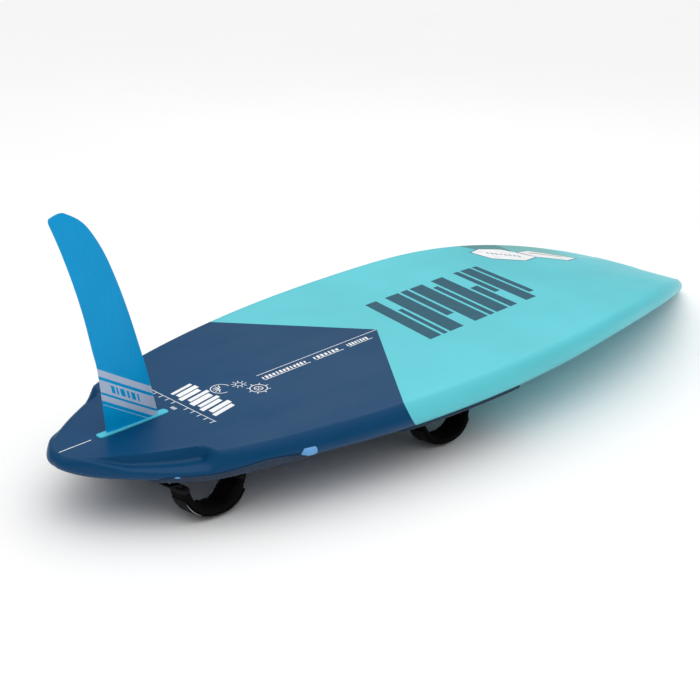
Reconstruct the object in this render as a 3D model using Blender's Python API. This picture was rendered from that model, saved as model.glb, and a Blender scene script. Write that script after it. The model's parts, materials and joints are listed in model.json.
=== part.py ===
"""Windsurf board lying bottom up: sandwich hull, fin and fin box, mast track,
vent, deck pads and four foot straps.

Every piece is modelled in the board's own axes: x runs from the tail (0) to the
nose (LENGTH), y runs across the board, and z points out of the flat bottom, so
the deck faces down. All pieces hang on one empty, which pitches the board onto
its nose and its foot straps, as it rests when it is turned over.
"""

import math

import bmesh
import bpy
from mathutils import Matrix, Vector

# ---- driving dimensions, in metres ----------------------------------------
LENGTH = 2.342
HALF_WIDTH = 0.358          # of the flat bottom, at the widest point
WIDEST_X = 1.069
TAIL_HALF_WIDTH = 0.119
NOSE_POWER = 2.37           # fullness of the outline ahead of the widest point
TAIL_POWER = 2.20           # fullness of the outline behind it
TAIL_ROUND = 0.30           # the tail closes over this length
NOSE_ROUND = 0.035
SCOOP_START = 1.281         # the bottom is flat behind this point
SCOOP_RISE = 0.246
SCOOP_POWER = 2.155
THICKNESS = [(0.0, 0.034), (0.06, 0.054), (0.2, 0.078), (0.5, 0.102), (0.9, 0.118),
             (1.3, 0.116), (1.7, 0.096), (2.05, 0.066), (2.25, 0.044), (2.342, 0.022)]
RAIL_BULGE = 0.15           # the rail's reach past the bottom's edge, over the thickness
RAIL_DEPTH = 0.33           # depth of the rail's widest line, over the thickness
DECK_POWER_Y, DECK_POWER_Z = 2.25, 2.0
CUT_END, CUT_FADE = 0.220, 0.013   # tail cutaways: where they end, and the step's length
CUT_EDGE, CUT_SLOPE = 0.168, 0.41  # half width between the cutaways at their end, and its taper
CUT_DROP = 0.026
SKIN = 0.006                # thickness of the hull's sandwich skins
GAP = 0.0003                # clearance between touching pieces
CORE_GAP = 0.0012           # between the skins and the foam
END_SOLID = 0.032           # the hull is solid this far in from the tail

FIN_X = 0.192               # centre of the fin box, from the tail
HEAD_LENGTH, HEAD_WIDTH, HEAD_DEPTH = 0.172, 0.020, 0.050
HEAD_TAPER = 0.006          # how much the head narrows over its depth, both ways
HEAD_PROUD = 0.003
TRACK_X, TRACK_LENGTH, TRACK_WIDTH, TRACK_DEPTH = 1.26, 0.300, 0.046, 0.042
SLOT_LENGTH, SLOT_WIDTH, CHANNEL_WIDTH = 0.262, 0.010, 0.026
VENT_X = 1.02
PAD_THICK = 0.005

# centre of each strap and its toe-in, in degrees
STRAPS = {"front": dict(x=0.868, y=0.238, toe=-6.0),
          "rear": dict(x=0.260, y=0.152, toe=-5.0)}
STRAP_HALF = 0.074          # half the arch, on the webbing's middle line
FOOT_U = STRAP_HALF + 0.017  # distance of the strap screws from the strap's middle
ARCH_STEPS = 16
FOOT_LENGTH = 0.030         # flat end of the webbing beyond the arch
WEB_WIDTH, WEB_THICK = 0.038, 0.003
COVER_WIDTH, COVER_THICK = 0.066, 0.0150
REST_SLOPE = -0.0485        # the plane under the nose and the straps, in the board's axes

COLOURS = {  # base colour, roughness, metallic
    "navy": ((0.022, 0.085, 0.195), 0.35, 0.0),
    "turquoise": ((0.13, 0.62, 0.70), 0.35, 0.0),
    "foam": ((0.90, 0.90, 0.88), 0.9, 0.0),
    "box_plastic": ((0.03, 0.03, 0.035), 0.5, 0.0),
    "fin_blue": ((0.0, 0.29, 0.60), 0.3, 0.0),
    "head_blue": ((0.10, 0.55, 0.72), 0.4, 0.0),
    "steel": ((0.62, 0.63, 0.65), 0.3, 1.0),
    "brass": ((0.75, 0.58, 0.28), 0.35, 1.0),
    "rubber": ((0.02, 0.02, 0.02), 0.8, 0.0),
    "pad_navy": ((0.035, 0.07, 0.12), 0.85, 0.0),
    "strap_black": ((0.012, 0.012, 0.013), 0.9, 0.0),
    "webbing": ((0.03, 0.03, 0.03), 0.8, 0.0),
}


# ---- scene helpers ----------------------------------------------------------
def clear_scene():
    for old in list(bpy.data.objects):
        bpy.data.objects.remove(old, do_unlink=True)


def material(name):
    found = bpy.data.materials.get(name)
    if found:
        return found
    colour, roughness, metallic = COLOURS[name]
    made = bpy.data.materials.new(name)
    made.use_nodes = True
    shader = made.node_tree.nodes["Principled BSDF"]
    shader.inputs["Base Color"].default_value = (*colour, 1.0)
    shader.inputs["Roughness"].default_value = roughness
    shader.inputs["Metallic"].default_value = metallic
    made.diffuse_color = (*colour, 1.0)
    return made


def add_object(name, mesh, finish, origin=(0, 0, 0), smooth_angle=35):
    """Link a mesh, given in board axes, as an object whose origin is at origin."""
    mesh.transform(Matrix.Translation(-Vector(origin)))
    mesh.shade_smooth()
    mesh.set_sharp_from_angle(angle=math.radians(smooth_angle))
    obj = bpy.data.objects.new(name, mesh)
    obj.location = origin
    obj.parent = bpy.data.objects["board_frame"]
    bpy.context.collection.objects.link(obj)
    if finish:
        obj.data.materials.append(material(finish))
    return obj


def as_cutter(obj):
    obj.hide_render = True
    obj.display_type = "WIRE"
    return obj


def cut(obj, cutter):
    boolean = obj.modifiers.new("cut_" + cutter.name, "BOOLEAN")
    boolean.operation = "DIFFERENCE"
    boolean.solver = "EXACT"
    boolean.object = cutter


# ---- mesh builders ----------------------------------------------------------
def mesh_from(name, verts, faces):
    mesh = bpy.data.meshes.new(name)
    mesh.from_pydata([tuple(v) for v in verts], [], faces)
    bm = bmesh.new()
    bm.from_mesh(mesh)
    bmesh.ops.recalc_face_normals(bm, faces=bm.faces)
    bm.to_mesh(mesh)
    bm.free()
    return mesh


def loft_faces(rows, columns, start=0, closed=True):
    """Quads between successive rows of points, each row a loop if closed."""
    faces = []
    last = columns if closed else columns - 1
    for i in range(rows - 1):
        for j in range(last):
            k = (j + 1) % columns
            faces.append((start + i * columns + j, start + i * columns + k,
                          start + (i + 1) * columns + k, start + (i + 1) * columns + j))
    return faces


def split_alike(quads, verts):
    """Triangles whose diagonals run the same way on every layer of the hull: outward
    from the centre line towards the nose."""
    faces = []
    for a, b, c, d in quads:
        if abs(verts[a][1]) <= abs(verts[b][1]):
            faces += [(a, b, c), (a, c, d)]
        else:
            faces += [(a, b, d), (b, c, d)]
    return faces


def loft(name, loops, split=False):
    """A solid through loops of points with the same count, capped at both ends."""
    count = len(loops[0])
    verts = [p for loop in loops for p in loop]
    faces = loft_faces(len(loops), count)
    if split:
        faces = split_alike(faces, verts)
    faces.append(tuple(range(count))[::-1])
    faces.append(tuple((len(loops) - 1) * count + j for j in range(count)))
    return mesh_from(name, verts, faces)


def sleeve(name, outer, inner):
    """A tube whose wall lies between two lofts with the same rows and columns."""
    rows, count = len(outer), len(outer[0])
    verts = [p for loop in outer + inner for p in loop]
    base = rows * count
    faces = loft_faces(rows, count)
    faces += [f[::-1] for f in loft_faces(rows, count, base)]
    for row in (0, rows - 1):
        for j in range(count):
            k = (j + 1) % count
            quad = (row * count + j, base + row * count + j,
                    base + row * count + k, row * count + k)
            faces.append(quad if row == 0 else quad[::-1])
    return mesh_from(name, verts, faces)


def skin(name, outer, inner):
    """A curved sheet with thickness, between two open grids of the same shape."""
    rows, count = len(outer), len(outer[0])
    verts = [p for row in outer + inner for p in row]
    base = rows * count
    faces = split_alike(loft_faces(rows, count, 0, closed=False), verts)
    faces += [f[::-1] for f in split_alike(loft_faces(rows, count, base, closed=False), verts)]
    rim = list(range(count))
    rim += [i * count + count - 1 for i in range(1, rows)]
    rim += [(rows - 1) * count + j for j in range(count - 2, -1, -1)]
    rim += [i * count for i in range(rows - 2, 0, -1)]
    for a, b in zip(rim, rim[1:] + rim[:1]):
        faces.append((b, a, base + a, base + b))
    return mesh_from(name, verts, faces)


def joined(name, meshes):
    bm = bmesh.new()
    for mesh in meshes:
        bm.from_mesh(mesh)
    out = bpy.data.meshes.new(name)
    bm.to_mesh(out)
    bm.free()
    return out


def circle(centre, radius, z, count=16):
    turn = 2 * math.pi / count
    return [(centre[0] + radius * math.cos(turn * i), centre[1] + radius * math.sin(turn * i), z)
            for i in range(count)]


def rounded_rectangle(centre, length, width, z, radius, count=16):
    """count points, a quarter of them on each rounded corner."""
    per_corner = count // 4
    points = []
    for corner in range(4):
        sx = 1 if corner in (0, 3) else -1
        sy = 1 if corner in (0, 1) else -1
        for i in range(per_corner):
            angle = math.pi / 2 * (corner + i / (per_corner - 1))
            points.append((centre[0] + sx * (length / 2 - radius) + radius * math.cos(angle),
                           centre[1] + sy * (width / 2 - radius) + radius * math.sin(angle), z))
    return points


def turned(name, profile, centre=(0, 0), count=16):
    """A solid of revolution about the z line through centre, from (radius, z) pairs."""
    return loft(name, [circle(centre, radius, z, count) for radius, z in profile])


def smooth_curve(points, t):
    """Catmull-Rom point at t (0 to 1) on a curve through points."""
    spans = len(points) - 1
    k = min(int(t * spans), spans - 1)
    u = t * spans - k
    a, b, c, d = (Vector(points[min(max(k + o, 0), spans)]) for o in (-1, 0, 1, 2))
    return 0.5 * (2 * b + (c - a) * u + (2 * a - 5 * b + 4 * c - d) * u ** 2
                  + (3 * b - a - 3 * c + d) * u ** 3)


def smooth_step(t):
    t = min(max(t, 0.0), 1.0)
    return t * t * (3 - 2 * t)


# ---- hull form --------------------------------------------------------------
def thickness(x):
    """Hull thickness on the centre line: a smooth curve through THICKNESS."""
    x = min(max(x, 0.0), LENGTH)
    k = max(i for i in range(len(THICKNESS) - 1) if THICKNESS[i][0] <= x)
    (x0, t0), (x1, t1) = THICKNESS[k], THICKNESS[k + 1]

    def slope(i):
        low, high = THICKNESS[max(i - 1, 0)], THICKNESS[min(i + 1, len(THICKNESS) - 1)]
        return (high[1] - low[1]) / (high[0] - low[0])

    h = x1 - x0
    u = (x - x0) / h
    return (t0 * (1 + 2 * u) * (1 - u) ** 2 + slope(k) * h * u * (1 - u) ** 2
            + t1 * u * u * (3 - 2 * u) + slope(k + 1) * h * u * u * (u - 1))


def bottom_z(x):
    run = max(0.0, (x - SCOOP_START) / (LENGTH - SCOOP_START))
    return -SCOOP_RISE * run ** SCOOP_POWER


def deck_z(x):
    return bottom_z(x) - thickness(x)


def half_width(x):
    """Half width of the bottom, with the tail and nose rounded off."""
    if x > WIDEST_X:
        width = HALF_WIDTH * (1 - ((x - WIDEST_X) / (LENGTH - WIDEST_X)) ** NOSE_POWER)
    else:
        aft = ((WIDEST_X - x) / WIDEST_X) ** TAIL_POWER
        width = HALF_WIDTH - (HALF_WIDTH - TAIL_HALF_WIDTH) * aft
    if x < TAIL_ROUND:
        width *= (1 - (1 - x / TAIL_ROUND) ** 2.0) ** 0.52 * 0.97 + 0.03
    if x > LENGTH - NOSE_ROUND:
        width += 0.008 * math.sqrt(max(0.0, 1 - ((x - LENGTH + NOSE_ROUND) / NOSE_ROUND) ** 2))
    elif x > LENGTH - 4 * NOSE_ROUND:
        width += 0.008 * smooth_step((x - LENGTH + 4 * NOSE_ROUND) / (3 * NOSE_ROUND))
    return max(width, 0.003)


def cutaway(x):
    """1 where the tail cutaways are, fading to 0 over the step at their front end."""
    return min(max((CUT_END + CUT_FADE - x) / CUT_FADE, 0.0), 1.0)


def rail_depth(x):
    """Depth of the rail's widest line under the bottom; it drops beside the cutaways."""
    return thickness(x) * (RAIL_DEPTH + 0.20 * smooth_step((0.34 - x) / 0.14))


def half_section(x, inset=0.0):
    """The section at x from the keel line on the bottom, round the rail, to the
    deck's centre line, as (y, z) points. inset moves it inward."""
    deep = cutaway(x - 0.045) if inset else cutaway(x)
    width, thick, base = half_width(x), thickness(x), bottom_z(x)
    soft = 0.006 + 0.016 * smooth_step((x - 0.9) / 1.2)       # softness of the bottom's edge
    soft = min(soft, 0.3 * width, 0.25 * thick)
    drop = CUT_DROP * (0.45 + 0.55 * min(x / 0.18, 1.0)) * min(1.0, thick / 0.06)
    edge_cut = min(CUT_EDGE - CUT_SLOPE * (CUT_END - x), 0.80 * width)

    def mix(plain, cutaway_value):
        return plain + (cutaway_value - plain) * deep

    edge = mix(width - soft, edge_cut)
    wall = (mix(width - 0.3 * soft, edge_cut + 0.006), mix(-0.3 * soft, -drop))
    brim = (mix(width, width - 0.003), mix(-soft, -drop - 0.004))
    reach = width + RAIL_BULGE * thick
    depth = rail_depth(x)
    points = [(edge * share, 0.0) for share in (0.0, 0.5, 1.0)] + [wall, brim]
    for degrees in (35, 65, 90):
        a = math.radians(degrees)
        points.append((brim[0] + (reach - brim[0]) * math.sin(a),
                       brim[1] + (-depth - brim[1]) * (1 - math.cos(a))))
    for step in range(1, 7):
        a = math.radians(90 * step / 6)
        points.append((reach * math.cos(a) ** (2 / DECK_POWER_Y) if step < 6 else 0.0,
                       -depth - (thick - depth) * math.sin(a) ** (2 / DECK_POWER_Z)))
    if inset:
        middle, end = -thick / 2, max(reach - thick / 2, 0.0)
        moved = []
        for y, z in points:
            toward = Vector((min(y, end) - y, middle - z))
            moved.append(tuple(Vector((y, z)) + toward.normalized() * inset))
        points = moved
    return [(y, z + base) for y, z in points]


RAIL_INDEX = 7     # the rail's widest line in half_section


def stations():
    """Section positions from tail to nose, closer where the form turns."""
    tail = [0.15 * (i / 6) ** 2.0 for i in range(7)]
    step = [CUT_END, CUT_END + CUT_FADE, 0.29]
    middle = [0.40 + 0.155 * i for i in range(11)]
    nose = [LENGTH - 0.27 * (1 - i / 5) ** 1.9 for i in range(6)]
    return tail + step + middle + nose


def inner_stations():
    """Sections of the hollow: as outside, but held back from both solid ends."""
    low, high = END_SOLID, LENGTH - 0.6 * END_SOLID
    spread = 0.0004
    return [min(max(x, low + spread * i), high - spread * (len(stations()) - 1 - i))
            for i, x in enumerate(stations())]


def hull_row(x, inset, lower):
    """One row of points across the board, rail to rail, over the bottom or under the deck."""
    half = half_section(x, inset)
    seam = (half[RAIL_INDEX][0], half[RAIL_INDEX][1] + (GAP / 2 if lower else -GAP / 2))
    if lower:
        half = half[:RAIL_INDEX] + [seam]
        return [(x, -y, z) for y, z in half[:0:-1]] + [(x, y, z) for y, z in half]
    half = [seam] + half[RAIL_INDEX + 1:]
    return [(x, -y, z) for y, z in half] + [(x, y, z) for y, z in half[-2::-1]]


def hull_rows(inset, lower):
    """All rows from tail to nose, closed at both ends by a row drawn together at the seam."""
    places = inner_stations() if inset else stations()
    rows = [hull_row(x, inset, lower) for x in places]

    def pole(row, shift):
        middle = Vector((row[0][0] + shift, 0, row[0][2]))
        return [tuple(middle + (Vector(p) - Vector((p[0], 0, row[0][2]))) * 0.04) for p in row]

    return [pole(rows[0], -0.0008)] + rows + [pole(rows[-1], 0.0008)]


def build_hull():
    shells = {}
    for name, lower, finish in (("bottom_shell", True, "navy"), ("deck_shell", False, "turquoise")):
        mesh = skin(name, hull_rows(0, lower), hull_rows(SKIN, lower))
        shells[name] = add_object(name, mesh, finish)
    loops = []
    places = inner_stations()
    places[0] += 0.0003
    places[-1] -= 0.0003
    for x in places:
        half = half_section(x, SKIN + CORE_GAP)
        loops.append([(x, y, z) for y, z in half] + [(x, -y, z) for y, z in half[-2:0:-1]])
    shells["foam_core"] = add_object("foam_core", loft("foam_core", loops, split=True), "foam")
    return shells


# ---- fin and fin box --------------------------------------------------------
def head_outline(z, extra=0.0):
    """The fin head's outline at depth z; it tapers towards the deck."""
    shrink = HEAD_TAPER * max(0.0, -z) / HEAD_DEPTH
    return rounded_rectangle((FIN_X, 0), HEAD_LENGTH - shrink + 2 * extra,
                             HEAD_WIDTH - shrink + 2 * extra, z, 0.0065)


def build_fin_box(hull):
    block = dict(length=HEAD_LENGTH + 0.022, width=HEAD_WIDTH + 0.016)
    floor = -HEAD_DEPTH - 0.009
    deck = deck_z(FIN_X) + 0.0008
    seat = deck + 0.0075

    def box_loops(extra, top, low):
        return [rounded_rectangle((FIN_X, 0), block["length"] + 2 * extra,
                                  block["width"] + 2 * extra, z, 0.008) for z in (top, floor - extra)
                ] + [circle((FIN_X, 0), 0.012 + extra, z) for z in (floor - extra, low)]

    box = add_object("fin_box", loft("fin_box", box_loops(0, 0.0, deck)), "box_plastic")
    pocket = loft("fin_pocket", [head_outline(0.004, GAP), head_outline(0.0, GAP),
                                 head_outline(-HEAD_DEPTH - 2 * GAP, GAP),
                                 circle((FIN_X, 0), 0.0036, -HEAD_DEPTH - 2 * GAP),
                                 circle((FIN_X, 0), 0.0036, seat),
                                 circle((FIN_X, 0), 0.0090, seat),
                                 circle((FIN_X, 0), 0.0090, deck - 0.01)])
    cut(box, as_cutter(add_object("fin_pocket", pocket, None)))
    room = as_cutter(add_object("fin_box_room", loft("fin_box_room", box_loops(GAP, 0.01, deck - 0.02)),
                                None))
    for part in hull.values():
        cut(part, room)
    return seat


def fin_outline(t):
    """Trailing and leading edge of the blade, from the root (t = 0) round to the tip."""
    trailing = [(0.1270, 0), (0.1190, 0.130), (0.1098, 0.187), (0.0978, 0.2575), (0.0820, 0.326),
                (0.0626, 0.3946), (0.0470, 0.4410), (0.0412, 0.4580), (0.0420, 0.4680)]
    leading = [(0.2550, 0), (0.2345, 0.105), (0.2228, 0.1537), (0.2042, 0.2282), (0.1827, 0.3016),
               (0.1560, 0.3745), (0.1275, 0.4270), (0.1040, 0.4535), (0.0690, 0.4755)]
    return smooth_curve(trailing, t), smooth_curve(leading, t)


def foil_row(t):
    """Closed foil section: trailing edge, one side to the leading edge, and back."""
    back, front = fin_outline(t)
    lift = (HEAD_PROUD + GAP) * (1 - t)
    thick = (0.0100 * (1 - t) + 0.0024 * t) * (1 - 0.6 * smooth_step((t - 0.9) / 0.1))
    shares = [0.0, 0.25, 0.55, 0.80, 0.95, 1.0]
    side = []
    for s in shares:
        along = 1 - s                       # 0 at the leading edge
        shape = 5 * (0.2969 * math.sqrt(along) - 0.1260 * along - 0.3516 * along ** 2
                     + 0.2843 * along ** 3 - 0.1036 * along ** 4)
        side.append((s, max(thick * shape, 0.0004)))
    loop = []
    for s, y in side:
        loop.append((back.x + (front.x - back.x) * s, y, back.y + (front.y - back.y) * s + lift))
    for s, y in side[::-1]:
        loop.append((back.x + (front.x - back.x) * s, -y, back.y + (front.y - back.y) * s + lift))
    return loop


def build_fin():
    pivot = (FIN_X, 0, 0)
    nut_z = -0.030
    head = add_object("fin_head", loft("fin_head", [head_outline(z) for z in
                                                    (-HEAD_DEPTH, 0.0, HEAD_PROUD)]), "head_blue", pivot)
    tenon = dict(length=0.096, width=0.0052, low=-0.0170)

    def tenon_loops(extra, top):
        return [rounded_rectangle((FIN_X, 0), tenon["length"] + 2 * extra, tenon["width"] + 2 * extra,
                                  z, 0.0020) for z in (tenon["low"] - extra, top)]

    rows = [foil_row(t / 13) for t in range(14)]
    blade_mesh = loft("fin_blade", rows)
    blade = add_object("fin_blade", blade_mesh, "fin_blue", pivot)
    tongue = as_cutter(add_object("fin_tenon", loft("fin_tenon", tenon_loops(0, 0.010)), None, pivot))
    union = blade.modifiers.new("tenon", "BOOLEAN")
    union.operation = "UNION"
    union.solver = "EXACT"
    union.object = tongue
    ways = {"head_slot": loft("head_slot", tenon_loops(GAP, 0.012)),
            "nut_way": cross_hole((FIN_X, 0, nut_z), 0.0063, 0.03),
            "bolt_way": turned("bolt_way", [(0.0036, -HEAD_DEPTH - 0.01), (0.0036, nut_z + 0.0092)],
                               (FIN_X, 0))}
    for name, way in ways.items():
        cut(head, as_cutter(add_object(name, way, None, pivot)))
    nut = add_object("fin_barrel_nut", cross_hole((FIN_X, 0, nut_z), 0.0060, 0.013), "brass", pivot)
    cut(nut, as_cutter(add_object("nut_thread", turned("nut_thread", [(0.0034, nut_z - 0.01),
                                                                     (0.0034, nut_z + 0.01)],
                                                      (FIN_X, 0)), None, pivot)))


def cross_hole(centre, radius, length, count=16):
    """A cylinder across the board."""
    loops = []
    for y in (-length / 2, length / 2):
        turn = 2 * math.pi / count
        loops.append([(centre[0] + radius * math.sin(turn * i), centre[1] + y,
                       centre[2] + radius * math.cos(turn * i)) for i in range(count)])
    return loft("cylinder", loops)


def build_fin_bolt(seat):
    axis = (FIN_X, 0, seat)
    washer_top = seat - GAP
    washer_low = washer_top - 0.0012
    ring = turned("fin_washer", [(0.0082, washer_low), (0.0082, washer_top)], axis)
    washer = add_object("fin_washer", ring, "steel", axis)
    hole = turned("washer_hole", [(0.0034, washer_low - 0.01), (0.0034, washer_top + 0.01)], axis)
    cut(washer, as_cutter(add_object("washer_hole", hole, None, axis)))
    head_top = washer_low - GAP
    head_low = head_top - 0.0042
    bolt = add_object("fin_bolt", turned("fin_bolt", [(0.0052, head_low), (0.0057, head_low + 0.0006),
                                                      (0.0057, head_top), (0.0030, head_top),
                                                      (0.0030, -0.0230), (0.0024, -0.0222)], axis),
                      "steel", axis)
    socket = turned("hex_socket", [(0.0027, head_low - 0.01), (0.0027, head_low + 0.0026)], axis, 6)
    cut(bolt, as_cutter(add_object("hex_socket", socket, None, axis)))


# ---- mast track -------------------------------------------------------------
def build_mast_track(hull):
    """A moulded box in the deck with a slot that widens to a channel inside."""
    face = min(deck_z(TRACK_X - TRACK_LENGTH / 2), deck_z(TRACK_X + TRACK_LENGTH / 2),
               deck_z(TRACK_X)) - 0.0015
    floor = face + TRACK_DEPTH
    centre = (TRACK_X, 0)
    body = loft("mast_track_box",
                [rounded_rectangle(centre, TRACK_LENGTH - 0.004, TRACK_WIDTH - 0.004, face, 0.010),
                 rounded_rectangle(centre, TRACK_LENGTH, TRACK_WIDTH, face + 0.002, 0.012),
                 rounded_rectangle(centre, TRACK_LENGTH, TRACK_WIDTH, floor, 0.012)])
    box = add_object("mast_track_box", body, "box_plastic")
    slot = loft("mast_slot",
                [rounded_rectangle(centre, SLOT_LENGTH, SLOT_WIDTH, face - 0.01, 0.0045),
                 rounded_rectangle(centre, SLOT_LENGTH, SLOT_WIDTH, face + 0.008, 0.0045),
                 rounded_rectangle(centre, SLOT_LENGTH + 0.012, CHANNEL_WIDTH, face + 0.008, 0.0045),
                 rounded_rectangle(centre, SLOT_LENGTH + 0.012, CHANNEL_WIDTH, face + 0.030, 0.0045)])
    cut(box, as_cutter(add_object("mast_slot", slot, None)))
    room = loft("mast_track_room",
                [rounded_rectangle(centre, TRACK_LENGTH + 2 * GAP, TRACK_WIDTH + 2 * GAP, z, 0.012)
                 for z in (face - 0.02, floor + GAP)])
    room = as_cutter(add_object("mast_track_room", room, None))
    cut(hull["deck_shell"], room)
    cut(hull["foam_core"], room)


# ---- vent -------------------------------------------------------------------
def build_vent(hull):
    """A threaded insert in the deck, closed by a slotted screw on an O-ring."""
    centre = (VENT_X, 0)
    deck = deck_z(VENT_X)
    face = deck - 0.0008
    axis = (VENT_X, 0, face)
    insert = add_object("vent_insert", turned("vent_insert", [
        (0.0140, face), (0.0150, face + 0.001), (0.0150, face + 0.026)], centre), "box_plastic")
    bore = turned("vent_bore", [(0.0095, face - 0.01), (0.0095, face + 0.0062), (0.0047, face + 0.0062),
                                (0.0047, face + 0.018)], centre)
    cut(insert, as_cutter(add_object("vent_bore", bore, None)))
    ring_z = face + 0.0062 - 0.0011
    ring = bpy.data.meshes.new("vent_o_ring")
    bm = bmesh.new()
    circle_verts = [bm.verts.new((VENT_X + 0.0066 + 0.0008 * math.cos(a), 0,
                                  ring_z + 0.0008 * math.sin(a)))
                    for a in (math.pi / 3 * i for i in range(6))]
    edges = [bm.edges.new((circle_verts[i], circle_verts[(i + 1) % 6])) for i in range(6)]
    bmesh.ops.spin(bm, geom=edges, cent=(VENT_X, 0, 0), axis=(0, 0, 1), angle=2 * math.pi, steps=16,
                   use_merge=True)
    bmesh.ops.remove_doubles(bm, verts=bm.verts, dist=0.00001)
    bmesh.ops.recalc_face_normals(bm, faces=bm.faces)
    bm.to_mesh(ring)
    bm.free()
    add_object("vent_o_ring", ring, "rubber", axis)
    head_top = ring_z - 0.0008 - GAP
    screw = turned("vent_screw", [(0.0078, face - 0.0004), (0.0088, face + 0.0006),
                                  (0.0088, head_top), (0.0043, head_top),
                                  (0.0043, face + 0.0150), (0.0036, face + 0.0158)], centre)
    screw = add_object("vent_screw", screw, "box_plastic", axis)
    groove = loft("coin_slot", [rounded_rectangle(centre, 0.0130, 0.0020, z, 0.0008)
                                for z in (face - 0.01, face + 0.0020)])
    cut(screw, as_cutter(add_object("coin_slot", groove, None, axis)))
    room = as_cutter(add_object("vent_room", turned("vent_room", [
        (0.0150 + GAP, face - 0.02), (0.0150 + GAP, face + 0.026 + GAP)], centre), None))
    cut(hull["deck_shell"], room)
    cut(hull["foam_core"], room)


# ---- deck pads --------------------------------------------------------------
def deck_point(x, y):
    """The deck's surface at (x, y), by walking the section's deck curve."""
    half = half_section(x)[RAIL_INDEX:]
    target = abs(y)
    for (y0, z0), (y1, z1) in zip(half, half[1:]):
        if y1 <= target <= y0:
            share = (y0 - target) / (y0 - y1)
            return Vector((x, y, z0 + (z1 - z0) * share))
    return Vector((x, y, half[0][1]))


def deck_curve_point(x, degrees, side, lift):
    """A point on the deck curve at an angle from the rail (0) to the centre line (90),
    lifted off the deck."""
    width = half_width(x) + RAIL_BULGE * thickness(x)
    depth = rail_depth(x)
    rise = thickness(x) - depth

    def at(angle):
        a = math.radians(angle)
        return Vector((width * math.cos(a) ** (2 / DECK_POWER_Y),
                       bottom_z(x) - depth - rise * math.sin(a) ** (2 / DECK_POWER_Z)))

    here, before, after = at(degrees), at(degrees - 2), at(min(degrees + 2, 89))
    along = (after - before).normalized()
    outward = Vector((-along.y, along.x))
    if outward.y > 0:
        outward = -outward
    moved = here + outward * lift
    return (x, side * moved.x, moved.y)


def pad_grid(pad, side, lift, rows=11, columns=6):
    grid = []
    for i in range(rows):
        u = i / (rows - 1)
        x = pad["start"] + (pad["end"] - pad["start"]) * u
        round_off = (1 - abs(2 * u - 1) ** pad["round"]) ** (1 / pad["round"]) if 0 < u < 1 else 0.0
        spread = pad["span"] * (0.35 + 0.65 * round_off) / 2
        grid.append([deck_curve_point(x, pad["middle"] - spread + 2 * spread * j / (columns - 1),
                                      side, lift) for j in range(columns)])
    return grid


PADS = {"front": dict(start=0.66, end=1.035, middle=45.5, span=45.0, round=3.4),
        "rear": dict(start=0.135, end=0.415, middle=44.5, span=58.0, round=3.4)}


def build_pads():
    pads = {}
    for place, pad in PADS.items():
        for side, hand in ((1, "left"), (-1, "right")):
            name = f"deck_pad_{place}_{hand}"
            mesh = skin(name, pad_grid(pad, side, GAP + PAD_THICK + deck_sag(pad)),
                        pad_grid(pad, side, GAP + deck_sag(pad)))
            pads[place, hand] = add_object(name, mesh, "pad_navy")
    return pads


def deck_sag(pad):
    """Room for the flat facets of the deck under the pad's own facets."""
    return 0.0012 if pad["start"] < 0.5 else 0.0009


# ---- foot straps ------------------------------------------------------------
def rest_plane_z(x):
    """The plane that the nose touches, in board axes."""
    nose = min(deck_z(s) - REST_SLOPE * s for s in stations() if s > 1.5)
    return nose + REST_SLOPE * x


def strap_frame(place, side):
    """Strap axes on the deck: u along the strap, v across its band, n out of the deck."""
    strap = STRAPS[place]
    toe = math.radians(strap["toe"])
    ahead = Vector((math.cos(toe), -side * math.sin(toe)))
    middle = Vector((strap["x"], side * strap["y"]))
    screws = [deck_point(*(middle + ahead * reach)) for reach in (-FOOT_U, FOOT_U)]
    across = [deck_point(middle.x, middle.y + reach) for reach in (-WEB_WIDTH / 2, WEB_WIDTH / 2)]
    u = (screws[1] - screws[0]).normalized()
    n = (across[1] - across[0]).cross(u).normalized()
    if n.z > 0:
        n = -n
    v = n.cross(u)
    frame = Matrix((u, v, n)).transposed().to_4x4()
    frame.translation = deck_point(middle.x, middle.y)
    return frame


def seat_height():
    """Height of the webbing's underside over the strap's origin."""
    return PAD_THICK + 0.0018


def arch_height(place):
    """Height of the webbing's middle line that brings the cover down to the rest plane."""
    frame = strap_frame(place, 1)
    v, n, origin = frame.col[1], frame.col[2], frame.translation
    room = origin.z - rest_plane_z(origin.x) - abs(v.z) * COVER_WIDTH / 2 * 0.86
    return room / (REST_SLOPE * n.x - n.z) - COVER_THICK / 2


def strap_path(place):
    """Points (u, n) of the webbing's middle line: a foot, the arch and a foot."""
    base = seat_height() + WEB_THICK / 2 + GAP
    height = arch_height(place) - base
    arch = []
    for i in range(1, ARCH_STEPS):
        a = math.pi * i / ARCH_STEPS
        arch.append((-STRAP_HALF * math.copysign(abs(math.cos(a)) ** 0.86, math.cos(a)),
                     base + height * math.sin(a) ** 0.92))
    toe, heel = STRAP_HALF + FOOT_LENGTH, STRAP_HALF + 0.003
    return [(-toe, base), (-heel, base)] + arch + [(heel, base), (toe, base)]


SQUARE = [(-1, -1), (1, -1), (1, 1), (-1, 1)]
SOFTENED = [(-1, -0.55), (-0.86, -1), (0.86, -1), (1, -0.55),
            (1, 0.55), (0.86, 1), (-0.86, 1), (-1, 0.55)]


def band(path, width, thick, corners=SOFTENED):
    """Cross sections along a path in the (u, n) plane; width and thick are functions
    of the share of the path, 0 to 1."""
    loops = []
    for i, (u, n) in enumerate(path):
        before, after = path[max(i - 1, 0)], path[min(i + 1, len(path) - 1)]
        along = Vector((after[0] - before[0], after[1] - before[1])).normalized()
        out = Vector((-along.y, along.x))
        share = i / (len(path) - 1)
        w, t = width(share) / 2, thick(share) / 2
        loops.append([(u + out.x * t * lift, w * v, n + out.y * t * lift) for v, lift in corners])
    return loops


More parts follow.
